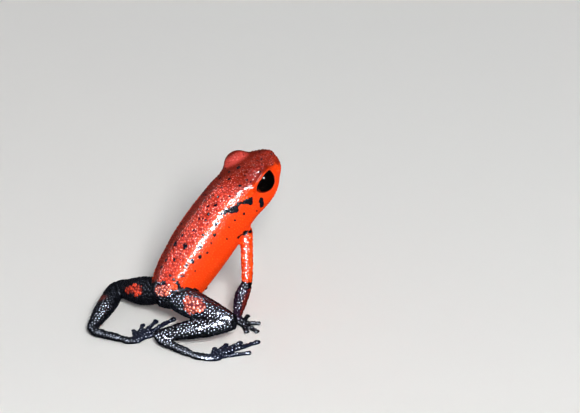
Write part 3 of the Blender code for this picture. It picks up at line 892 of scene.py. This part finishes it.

# %% [markdown]
# The other fields follow the body: the black of the hind end and the legs, the ridge where
# the dark back meets the bright flank, the dull head, the purple forearms, the bluish toes,
# and how wet each place is. Some of them paint light: a browner shade on the far side of
# the back, a pinkish sheen on the lid tops, and the part of the toes' blue that stands for
# a bluish sheen. They are kept as attributes of the vertices, and the material reads them.
# No picture is used.

# %% Fields for the markings
HIND_EDGE = (1.85, 1.50)        # mm along the spine that are black, on top and beside
LEG_BLACK = (0.24, 0.70)        # mm that the black of a leg spreads, on the trunk and off it
SOLE_BLACK = (0.90, 0.95)       # mm from the sole's middle and above the floor
DIGIT_BLACK = 0.75              # mm from a digit's middle
ELBOW_RUN = (6.45, 7.55)        # mm along the arm, where it is black
IMAGE_SIDE = (0.806, 0.592)     # forward and outward, the forearm's red side
FOREARM_EDGE = 0.22             # mm towards that side, where the red begins
RIDGE_ANGLE = 61.0              # degrees round the trunk, where flank and back meet
LIMB_STEPS = 14


def limb_measure(places, lengths):
    """Distance from a limb's surface, how far along the limb, and its nearest point."""
    rows = np.concatenate([smooth_rows(rows, LIMB_STEPS)[1:-1] for rows in lengths])
    line, widths = rows[:, :3], rows[:, 3]
    distance, share, nearest = line_measure(places, line)
    steps = np.linalg.norm(np.diff(line, axis=0), axis=1)
    stations = np.concatenate(([0.0], np.cumsum(steps)))
    run = share * stations[-1]
    return distance - np.interp(run, stations, widths), run, nearest


along, angle, outside = trunk_measure(places)
forward, right, height = places.T
on_trunk = outside < 0.25

# Black: positive inside, in mm.
to_side = ramp(np.abs(angle - 90.0), 14.0, 26.0)
dark = HIND_EDGE[0] * (1.0 - to_side) + HIND_EDGE[1] * to_side - along
for leg in ("leg_right", "leg_left"):
    off_leg = limb_measure(places, LIMBS[leg])[0]
    dark = np.maximum(dark, np.where(outside > 0.2, LEG_BLACK[1], LEG_BLACK[0]) - off_leg)
arm_tint = np.zeros(len(places))
for side, sign in SIDES:
    off_arm, run, nearest = limb_measure(places, LIMBS[f"arm_{side}"])
    on_arm = (off_arm < 0.35) & (outside > -0.1)
    to_red = (places - nearest) @ sided((*IMAGE_SIDE, 0.0), sign)
    elbow = np.minimum(run - ELBOW_RUN[0], ELBOW_RUN[1] - run)
    forearm = np.minimum(run - ELBOW_RUN[1], FOREARM_EDGE - to_red)
    dark = np.where(on_arm, np.maximum(np.maximum(elbow, forearm), -1.0), dark)
    dark = np.maximum(dark, inside_mark(places, *SHOULDER_RING, sign))
    arm_tint = np.maximum(
        arm_tint, on_arm * ramp(run, ELBOW_RUN[1] - 0.5, ELBOW_RUN[1] + 0.2))
toes = np.zeros(len(places))
for name, (sole, root, digits, radius, disc) in EXTREMITIES.items():
    off_sole = line_measure(places, np.array([row[:3] for row in sole]))[0]
    dark = np.where((off_sole < SOLE_BLACK[0]) & (height < SOLE_BLACK[1]), 1.0, dark)
    for heading_degrees, length in digits:
        rows = np.array(digit_rows(root, heading_degrees, length, radius, disc))
        off_digit = line_measure(places, rows[:, :3])[0]
        dark = np.where(off_digit < DIGIT_BLACK, 1.0, dark)
        # The toes' blue is partly their own colour and partly a painted bluish sheen.
        if name.startswith("foot"):
            toes = np.maximum(toes, ramp(off_digit, 0.9, 0.5))
patch = inside_marks(places, RED_PATCHES)
dark = np.minimum(dark, -patch)
in_patch = ramp(patch, -0.4, -0.2)

# The dark back lies between two ridges and reaches further down the sides on the head.
ridge = RIDGE_ANGLE - 14.0 * ramp(along, 13.0, 15.5) - 12.0 * ramp(along, 18.8, 19.8)
ridge -= 20.0 * ramp(along, 19.8, 20.2)
far_ridge = 192.0 - ridge
soft = 6.0 + 6.0 * ramp(along, 16.0, 19.0)
back = (ramp(angle, ridge - soft, ridge + soft)
        * ramp(angle, far_ridge + soft, far_ridge - soft))
coarse = (ramp(angle, ridge - 36.0, ridge - 18.0)
          * ramp(angle, far_ridge + 30.0, far_ridge + 12.0))
crest = (ramp(np.abs(angle - ridge - 3.0), 20.0, 6.0)
         * ramp(along, 4.0, 9.0) * ramp(along, 16.0, 14.5))
head = ramp(along, 13.4, 16.5)
crown = head * ramp(np.abs(angle - 90.0), 45.0, 25.0)
# Painted shade: the far half of the back, turned from the key light, is painted browner.
far = ramp(angle, 86.0, 110.0)
# Painted sheen: the tops of the lids are painted pinkish, the left one most.
lid = np.max([
    (0.6 - 0.25 * sign) * ramp(inside_mark(places, *LID_SHEEN_TOP, sign), -0.4, 0.3)
    for sign in SIGNS], axis=0)

# Size of the granules, which stop short of the eyes, nostrils, lips and soles.
grain = np.ones(len(places))
for sign in SIGNS:
    distance, off, opening, *_ = around_eye(places, sign)
    off_lid = np.maximum(ramp(off / opening, 1.12, 1.5), ramp(distance, 1.9, 2.2))
    from_nostril = np.linalg.norm(places - sided(NOSTRIL_PLACE, sign), axis=1)
    grain = np.minimum(grain, np.minimum(off_lid, ramp(from_nostril, 0.25, 0.5)))
grain = np.minimum(grain, ramp(line_measure(places, lips[::4])[0], 0.15, 0.4))
grain = np.minimum(grain, ramp(height, 0.12, 0.4))
fine = (0.5 + 0.5 * np.maximum(coarse, ramp(along, 2.6, 1.8))) * (1.0 - 0.45 * crown)
grain = np.where(on_trunk, grain * fine, grain)

# Shine and wetness. The leg in the shade and the far side are duller.
shaded = ramp(right, 0.0, -1.5) * ramp(forward, -3.0, -1.5)
lit = ramp(inside_mark(places, *LIT_SHANK), -0.4, 0.3)
left_leg = ramp(forward, -1.0, -2.0) * ramp(right, 3.0, 2.0)
sheen = (1.0 - 0.6 * left_leg * (1.0 - lit)) * (1.0 - 0.4 * ramp(height, 1.2, 0.8))
gloss = np.where(
    on_trunk, np.maximum(1.9 * in_patch, 0.6 * crest),
    sheen + lit + 0.4 * toes + 0.3 * ramp(right, 4.5, 5.5))
gloss *= (1.0 - shaded) * (1.0 - 0.3 * ramp(forward, 5.0, 7.0))
wet = np.where(
    on_trunk, coarse * (1.0 - 0.75 * far) * (1.0 - 0.45 * crown),
    sheen * (1.0 - 0.85 * shaded))
# The left lid loses its wetness, because its sheen is painted into its colour.
wet *= 1.0 - lid * (right < 0.0)

for name, values in {
    "dark": dark, "spots": spots, "back": back, "head": head, "arm": arm_tint,
    "dull": ramp(inside_mark(places, *DULL_PATCH), -0.25, 0.25), "toes": toes,
    "patch": in_patch, "far": far, "lid": lid, "gloss": gloss, "wet": wet,
    "grain_trunk": grain * on_trunk, "grain_limbs": grain * ~on_trunk,
}.items():
    store(skin_mesh, name, values)
print("black share of the skin:", round(float((dark > 0).mean()), 2))

# %% [markdown]
# Frog skin is wet and granular. The material mixes a bright red with a darker, mottled
# back, breaks the black patches up at their edges and scatters fine black specks. It paints
# shade in the gaps between the granules and on the far side of the back, and a pinkish sheen
# on the lid tops. A fine relief of granules and shallow level folds splits every highlight
# into short dashes.

# %% Skin material


def feed(tree, node, inputs):
    """Gives each input a value, or a link where the value is another node's output."""
    for name, value in inputs.items():
        if isinstance(value, bpy.types.NodeSocket):
            tree.links.new(value, node.inputs[name])
        else:
            node.inputs[name].default_value = value


def add_node(tree, kind, settings=None, inputs=None):
    """A new node of a tree, with its settings and its inputs."""
    node = tree.nodes.new(kind)
    for name, value in (settings or {}).items():
        setattr(node, name, value)
    feed(tree, node, inputs or {})
    return node


class Wiring:
    """Short calls for the few kinds of node that the materials use."""

    def __init__(self, name):
        self.material = bpy.data.materials.new(name)
        self.material.use_nodes = True
        self.tree = self.material.node_tree
        self.in_mm = self.node("Mapping", {}, {
            "Vector": self.node("TexCoord").outputs["Object"],
            "Scale": (1 / MM, 1 / MM, 1 / MM),
        }).outputs["Vector"]

    def node(self, kind, settings=None, inputs=None):
        return add_node(self.tree, f"ShaderNode{kind}", settings, inputs)

    def math(self, operation, first, second):
        return self.node("Math", {"operation": operation}, {0: first, 1: second}).outputs[0]

    def add(self, first, second):
        return self.math("ADD", first, second)

    def minus(self, first, second):
        return self.math("SUBTRACT", first, second)

    def times(self, first, second):
        return self.math("MULTIPLY", first, second)

    def step(self, value, low, high):
        """0 below low, 1 above high, smooth between."""
        return self.node("MapRange", {"interpolation_type": "SMOOTHSTEP"}, {
            "Value": value, "From Min": low, "From Max": high}).outputs["Result"]

    def mix(self, share, first, second):
        return self.node("Mix", {"data_type": "RGBA"}, {
            0: share, 6: first, 7: second}).outputs[2]

    def field(self, name):
        return self.node("Attribute", {"attribute_name": name}).outputs["Fac"]

    def noise(self, per_mm, detail=3.0, roughness=0.5, squash=None):
        vector = self.in_mm
        if squash:
            vector = self.node(
                "VectorMath", {"operation": "MULTIPLY"}, {0: vector, 1: squash}).outputs[0]
        return self.node("TexNoise", {}, {
            "Vector": vector, "Scale": per_mm, "Detail": detail, "Roughness": roughness,
        }).outputs["Fac"]

    def cells(self, per_mm, feature="F1"):
        return self.node("TexVoronoi", {"feature": feature}, {
            "Vector": self.in_mm, "Scale": per_mm}).outputs

    def finish(self, inputs):
        """Feeds the shader and hands over the material."""
        feed(self.tree, self.tree.nodes["Principled BSDF"], inputs)
        return self.material


# Each gap colour paints shade on the skin between the granules.
FLANK_RED = (0.83, 0.066, 0.003, 1.0)
FLANK_GAP_SHADE = (0.74, 0.043, 0.003, 1.0)
BACK_RED = (0.88, 0.054, 0.020, 1.0)
BACK_GAP_SHADE = (0.46, 0.026, 0.012, 1.0)
# the brown of the mottles, which also paints the shade on the back's far side
BACK_BROWN_AND_SHADE = (0.15, 0.012, 0.006, 1.0)
HEAD_RED = (0.15, 0.008, 0.001, 1.0)
PATCH_RED = (0.84, 0.060, 0.018, 1.0)
PATCH_GAP_SHADE = (0.16, 0.012, 0.008, 1.0)
# a painted pinkish sheen on the tops of the lids
LID_SHEEN_PINK = (0.60, 0.060, 0.045, 1.0)
SKIN_BLACK = (0.005, 0.0055, 0.009, 1.0)
SKIN_GAP_SHADE = (0.002, 0.002, 0.003, 1.0)
WHITE = (1.0, 1.0, 1.0, 1.0)
BLUISH = (0.80, 0.86, 1.0, 1.0)
ARM_RED = (0.115, 0.011, 0.008, 1.0)
ARM_BLACK = (0.018, 0.0075, 0.020, 1.0)
# the toes' blue, partly a painted bluish sheen
TOE_BLUE_AND_SHEEN = (0.005, 0.007, 0.020, 1.0)
DULL_RED = (0.12, 0.018, 0.010, 1.0)


EDGE_RAGGED, SPOT_RAGGED = 0.8, 0.25    # how far noise breaks the edges up, in mm
# the first share paints shade on the back's far side
FAR_PAINTED_SHADE, HEAD_BROWN, DULL_SHARE = 0.8, 0.75, 0.8
DRY_ROUGHNESS, WET_SMOOTHS = 0.36, -0.27
BARE_SHINE, GLOSS_SHINE, WET_SHINE = 0.03, 0.24, 0.13
EVEN_SHINE = 0.25                       # where a viewer can't read the linked shine
FOLD_SQUASH = (0.22, 0.22, 1.0)         # folds lie level: long in the plan, short in height
RELIEF = {"Strength": 0.62, "Distance": 0.00005}


def make_skin_material():
    wiring = Wiring("frog_skin")
    add, minus, times = wiring.add, wiring.minus, wiring.times
    mix, step, noise, field = wiring.mix, wiring.step, wiring.noise, wiring.field
    # Painted shade: the skin between the granules has no tone and takes the darker gap colours;
    # each granule has a random tone.
    granule_tone_gap_shade, back, far = field("tone"), field("back"), field("far")
    arm, wet = field("arm"), field("wet")

    ragged = minus(noise(2.6, 4.0, 0.6), 0.5)
    black = step(add(field("dark"), times(ragged, EDGE_RAGGED)), -0.05, 0.07)
    spot = step(add(field("spots"), times(ragged, SPOT_RAGGED)), -0.03, 0.02)

    # Painted shade: the far side of the back gets more brown mottles and is mixed towards brown.
    mottle_and_shade = step(minus(noise(3.4, 5.0, 0.7), times(far, 0.17)), 0.31, 0.50)
    back_red = mix(mottle_and_shade, BACK_BROWN_AND_SHADE, mix(granule_tone_gap_shade, BACK_GAP_SHADE, BACK_RED))
    back_red = mix(times(far, FAR_PAINTED_SHADE), back_red, BACK_BROWN_AND_SHADE)
    back_red = mix(times(field("head"), HEAD_BROWN), back_red, HEAD_RED)
    # Painted sheen: the tops of the lids turn pinkish.
    back_red = mix(field("lid"), back_red, LID_SHEEN_PINK)
    red = mix(back, mix(granule_tone_gap_shade, FLANK_GAP_SHADE, FLANK_RED), back_red)
    # The patches' granule gaps are painted shade too, broken up by noise.
    patch_grain_gap_shade = times(step(noise(5.0, 4.0, 0.7), 0.34, 0.52), granule_tone_gap_shade)
    red = mix(field("patch"), red, mix(patch_grain_gap_shade, PATCH_GAP_SHADE, PATCH_RED))

    dots = wiring.cells(1.7)
    size = times(dots["Color"], times(back, 0.30))
    dot = step(minus(size, dots["Distance"]), -0.05, 0.03)
    speck = wiring.math("MAXIMUM", dot, spot)
    red = mix(arm, mix(speck, red, SKIN_BLACK), ARM_RED)

    # The gaps of the black skin are painted shade as well.
    night = mix(arm, mix(granule_tone_gap_shade, SKIN_GAP_SHADE, SKIN_BLACK), ARM_BLACK)
    # Partly painted sheen: the toes turn bluish.
    night = mix(field("toes"), night, TOE_BLUE_AND_SHEEN)
    night = mix(times(field("dull"), DULL_SHARE), night, DULL_RED)

    roughness = add(times(wet, WET_SMOOTHS), times(noise(3.0, 3.0), 0.12))
    shine = add(times(field("gloss"), GLOSS_SHINE), times(wet, WET_SHINE))
    shine = times(add(shine, BARE_SHINE), minus(1.0, times(speck, 0.5)))
    folds = times(noise(5.0, 2.0, 0.5, squash=FOLD_SQUASH), times(wet, 2.0))
    granules = wiring.cells(5.0, "SMOOTH_F1")["Distance"]
    relief = wiring.node(
        "Bump", {}, {**RELIEF, "Height": minus(folds, times(granules, 0.3))})
    wiring.finish({"Specular IOR Level": EVEN_SHINE})
    return wiring.finish({
        "Base Color": mix(black, red, night), "Roughness": add(roughness, DRY_ROUGHNESS),
        "Specular IOR Level": shine, "Specular Tint": mix(black, WHITE, BLUISH),
        "Normal": relief.outputs["Normal"],
    })


skin_material = make_skin_material()
skin_mesh.materials.append(skin_material)
print("skin material:", len(skin_material.node_tree.nodes), "nodes")

# %% [markdown]
# Granules on a frog's skin are low domes set side by side. Geometry Nodes scatter points
# at an even spacing over the skin and put a small dome on each, turned to the surface.
# The tree takes its spacing and sizes as named inputs, and its seed is fixed.

# %% Granules by Geometry Nodes
DOME_RINGS = ((1.0, -0.25), (0.82, 0.42), (0.42, 0.86))    # radius and height, as shares
DOME_SIDES = 7
SIZES, TONES = (0.72, 1.12), (0.45, 1.0)    # the range of domes, as shares
SMALLEST_GRAIN, DENSEST = 0.3, 60.0         # least field with a dome, and domes per mm2
TREE_INPUTS = {
    "Skin": "Geometry", "Spacing": "Float", "Width": "Float", "Height": "Float", "Seed": "Int"}


def make_dome():
    """A unit dome with an open base, which is sunk in the skin."""
    points, faces = [], []
    for radius, height in DOME_RINGS:
        for i in range(DOME_SIDES):
            turned = 2 * math.pi * i / DOME_SIDES
            points.append((radius * math.cos(turned), radius * math.sin(turned), height))
    points.append((0.0, 0.0, 1.0))
    top = len(points) - 1
    for level in range(len(DOME_RINGS)):
        for i in range(DOME_SIDES):
            j = (i + 1) % DOME_SIDES
            low, high = level * DOME_SIDES, (level + 1) * DOME_SIDES
            if level < len(DOME_RINGS) - 1:
                faces.append((low + i, low + j, high + j, high + i))
            else:
                faces.append((low + i, low + j, top))
    mesh = mesh_from("dome", points, faces)
    mesh.shade_smooth()
    return add_object("dome", mesh)


def granule_tree(dome, material, field):
    """Scatters domes where the field is large enough, and sizes them by it."""
    tree = bpy.data.node_groups.new("granules", "GeometryNodeTree")
    for name, kind in TREE_INPUTS.items():
        tree.interface.new_socket(name, in_out="INPUT", socket_type=f"NodeSocket{kind}")
    tree.interface.new_socket("Granules", in_out="OUTPUT", socket_type="NodeSocketGeometry")

    def add(kind, settings=None, inputs=None):
        return add_node(tree, kind, settings, inputs).outputs

    def drawn(low, high):
        """A random number for each dome, of which the second output is the plain one."""
        return add("FunctionNodeRandomValue", {"data_type": "FLOAT"}, {
            2: low, 3: high, "Seed": given["Seed"]})[1]

    given = add("NodeGroupInput")
    grain = add("GeometryNodeInputNamedAttribute", {"data_type": "FLOAT"}, {"Name": field})[0]
    keep = add("FunctionNodeCompare", {"data_type": "FLOAT", "operation": "GREATER_THAN"}, {
        0: grain, 1: SMALLEST_GRAIN})[0]
    scatter = add("GeometryNodeDistributePointsOnFaces", {"distribute_method": "POISSON"}, {
        "Mesh": given["Skin"], "Selection": keep, "Distance Min": given["Spacing"],
        "Density Max": DENSEST, "Seed": given["Seed"]})
    tint = add("GeometryNodeStoreNamedAttribute", {"data_type": "FLOAT", "domain": "POINT"}, {
        "Geometry": scatter["Points"], "Name": "tone", "Value": drawn(*TONES)})
    grown = add("ShaderNodeMath", {"operation": "MULTIPLY"}, {0: drawn(*SIZES), 1: grain})[0]
    sizes = add("ShaderNodeCombineXYZ", {}, {
        "X": given["Width"], "Y": given["Width"], "Z": given["Height"]})[0]
    scaled = add("ShaderNodeVectorMath", {"operation": "SCALE"}, {0: sizes, "Scale": grown})[0]
    body = add("GeometryNodeObjectInfo", {}, {"Object": dome})["Geometry"]
    put = add("GeometryNodeInstanceOnPoints", {}, {
        "Points": tint["Geometry"], "Instance": body,
        "Rotation": scatter["Rotation"], "Scale": scaled})["Instances"]
    real = add("GeometryNodeRealizeInstances", {}, {"Geometry": put})["Geometry"]
    done = add("GeometryNodeSetMaterial", {}, {"Geometry": real, "Material": material})
    add("NodeGroupOutput", {}, {"Granules": done["Geometry"]})
    return tree


def scatter_granules(name, carrier, field, settings, material):
    """Runs the tree on a carrier mesh and returns the granules as a plain mesh."""
    dome, holder = make_dome(), add_object(name, carrier)
    modifier = holder.modifiers.new("granules", "NODES")
    modifier.node_group = granule_tree(dome, material, field)
    for item in modifier.node_group.interface.items_tree:
        if item.in_out == "INPUT" and item.name in settings:
            modifier[item.identifier] = settings[item.name]
    mesh = bpy.data.meshes.new_from_object(
        holder.evaluated_get(bpy.context.evaluated_depsgraph_get()))
    mesh.name = name
    bpy.data.objects.remove(holder, do_unlink=True)
    bpy.data.objects.remove(dome, do_unlink=True)
    return mesh


GRANULES = {
    "trunk": {"Spacing": 0.28, "Width": 0.18, "Height": 0.07, "Seed": 7},
    "limbs": {"Spacing": 0.34, "Width": 0.22, "Height": 0.075, "Seed": 8},
}
granule_meshes = {
    zone: scatter_granules(f"granules_{zone}", skin_mesh, f"grain_{zone}", settings, skin_material)
    for zone, settings in GRANULES.items()
}
for zone, mesh in granule_meshes.items():
    print("granules on the", zone, len(mesh.polygons), "faces")

# %% [markdown]
# Each piece of skin now becomes an object of the frame: its vertices go from millimetres
# to metres, and nothing may lie below the floor, so the undersides of the feet are flats.

# %% Skin pieces in the frame
ROOT = "root"


def finish_piece(name, mesh):
    flat = np.empty(len(mesh.vertices) * 3)
    mesh.vertices.foreach_get("co", flat)
    flat *= MM
    flat[2::3] = np.maximum(flat[2::3], 0.0)
    mesh.vertices.foreach_set("co", flat)
    mesh.shade_smooth()
    mesh.update()
    piece = add_object(name, mesh)
    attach(piece, ROOT)
    return piece


skin = finish_piece("skin", skin_mesh)
for zone, mesh in granule_meshes.items():
    finish_piece(f"granules_{zone}", mesh)
for side, mesh in margins.items():
    mesh.materials.append(skin_material)
    for name in ("dark", "spots"):
        store(mesh, name, np.full(len(mesh.vertices), -1.0))
    shape = bmesh.new()
    shape.from_mesh(mesh)
    bmesh.ops.recalc_face_normals(shape, faces=shape.faces)
    shape.to_mesh(mesh)
    shape.free()
    finish_piece(f"lid_margin_{side}", mesh)
flesh = [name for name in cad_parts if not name.startswith("eye_")]
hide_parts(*flesh)
print("skin stands for", len(flesh), "nodes")

# %% [markdown]
# The eyes are separate globes, black and mirror-wet, with faint brown streaks. Each globe
# is turned so that its poles lie on its own aim.

# %% Eyes
EYE_SEGMENTS, EYE_RINGS = 64, 40
EYE_BLACK, EYE_BROWN = (0.0006, 0.0006, 0.0008, 1.0), (0.003, 0.0018, 0.0012, 1.0)


def make_eye(side, sign):
    shape = bmesh.new()
    bmesh.ops.create_uvsphere(
        shape, u_segments=EYE_SEGMENTS, v_segments=EYE_RINGS, radius=EYE_RADIUS)
    turn_to_aim = heading(*sided(EYE_AIM, sign)).to_track_quat("Z", "Y").to_matrix().to_4x4()
    shape.transform(Matrix.Translation(place(*sided(EYE_PLACE, sign))) @ turn_to_aim)
    mesh = bpy.data.meshes.new(f"eyeball_{side}")
    shape.to_mesh(mesh)
    shape.free()
    return mesh


def make_eye_material():
    wiring = Wiring("eye_gloss")
    streaks = wiring.step(wiring.noise(5.0, 4.0, 0.7), 0.35, 0.75)
    return wiring.finish({
        "Base Color": wiring.mix(streaks, EYE_BLACK, EYE_BROWN),
        "Roughness": 0.05, "Specular IOR Level": 0.5,
    })


eye_material = make_eye_material()
for side, sign in SIDES:
    mesh = make_eye(side, sign)
    mesh.materials.append(eye_material)
    eye = finish_piece(f"eyeball_{side}", mesh)
    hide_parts(f"eye_{side}")
print("eyes:", len(SIDES))

# %% [markdown]
# The light is a plain studio. A soft key stands to the right of the frog and a wide, weak
# fill in front of it. A long strip behind the camera only makes highlights: it draws the
# wet line down the ridge of the back. A small lamp above and a window for the eye do the
# same for the legs and the eye. The floor and the surroundings are pale.

# %% Floor and light
FLOOR_SIZE = 3.0
LIT_PLACE = (7.0, 0.0, 9.0)         # the middle of the frog, at which every light is aimed
ALONG_BACK = (0.73, 0.0, 0.68)      # the back's slope, along which a long light lies
LIGHTS = {
    # direction, distance and size in m, watts, colour, hidden from
    "key": ((-0.35, 0.72, 0.60), 0.5, (0.14, 0.14), 3.1, (1.0, 1.0, 1.0), "glossy"),
    "fill": ((0.75, 0.20, 0.65), 0.7, (0.5, 0.5), 0.7, (1.0, 1.0, 1.0), "glossy"),
    "strip": ((-0.57, 0.43, 0.69), 0.5, (0.10, 0.5), 44.0, (0.93, 0.96, 1.0), "diffuse"),
    "above": ((-0.10, 0.16, 0.98), 0.6, (0.16, 0.16), 2.5, (0.82, 0.90, 1.0), "diffuse"),
    "window": ((-0.12, 0.68, 0.72), 0.5, (0.14, 0.14), 1.2, (1.0, 1.0, 1.0), "diffuse"),
}

for name, (direction, distance, size, power, colour, hidden) in LIGHTS.items():
    lamp = bpy.data.lights.new(name, "AREA")
    lamp.shape, lamp.energy, lamp.color = "ELLIPSE", power, colour
    lamp.size, lamp.size_y = size
    body = add_object(name, lamp)
    towards = heading(*direction)
    beside = heading(*ALONG_BACK).cross(towards).normalized()
    turned = Matrix((beside, towards.cross(beside), towards)).transposed().to_4x4()
    body.matrix_world = Matrix.Translation(place(*LIT_PLACE) * MM + towards * distance) @ turned
    setattr(body, f"visible_{hidden}", False)

floor_mesh = mesh_from("floor", [
    (x * FLOOR_SIZE / 2, y * FLOOR_SIZE / 2, 0.0) for x, y in ((-1, -1), (1, -1), (1, 1), (-1, 1))
], [(0, 1, 2, 3)])
floor_mesh.materials.append(Wiring("pale_floor").finish({
    "Base Color": (0.72, 0.71, 0.69, 1.0), "Roughness": 0.9, "Specular IOR Level": 0.0}))
floor = add_object("floor", floor_mesh)
floor.visible_glossy = False

world = bpy.data.worlds.new("studio")
world.use_nodes = True
world.node_tree.nodes["Background"].inputs["Color"].default_value = (0.93, 0.96, 1.0, 1.0)
world.node_tree.nodes["Background"].inputs["Strength"].default_value = 0.25
world.cycles_visibility.glossy = False
bpy.context.scene.world = world
bpy.context.scene.view_settings.view_transform = "Standard"
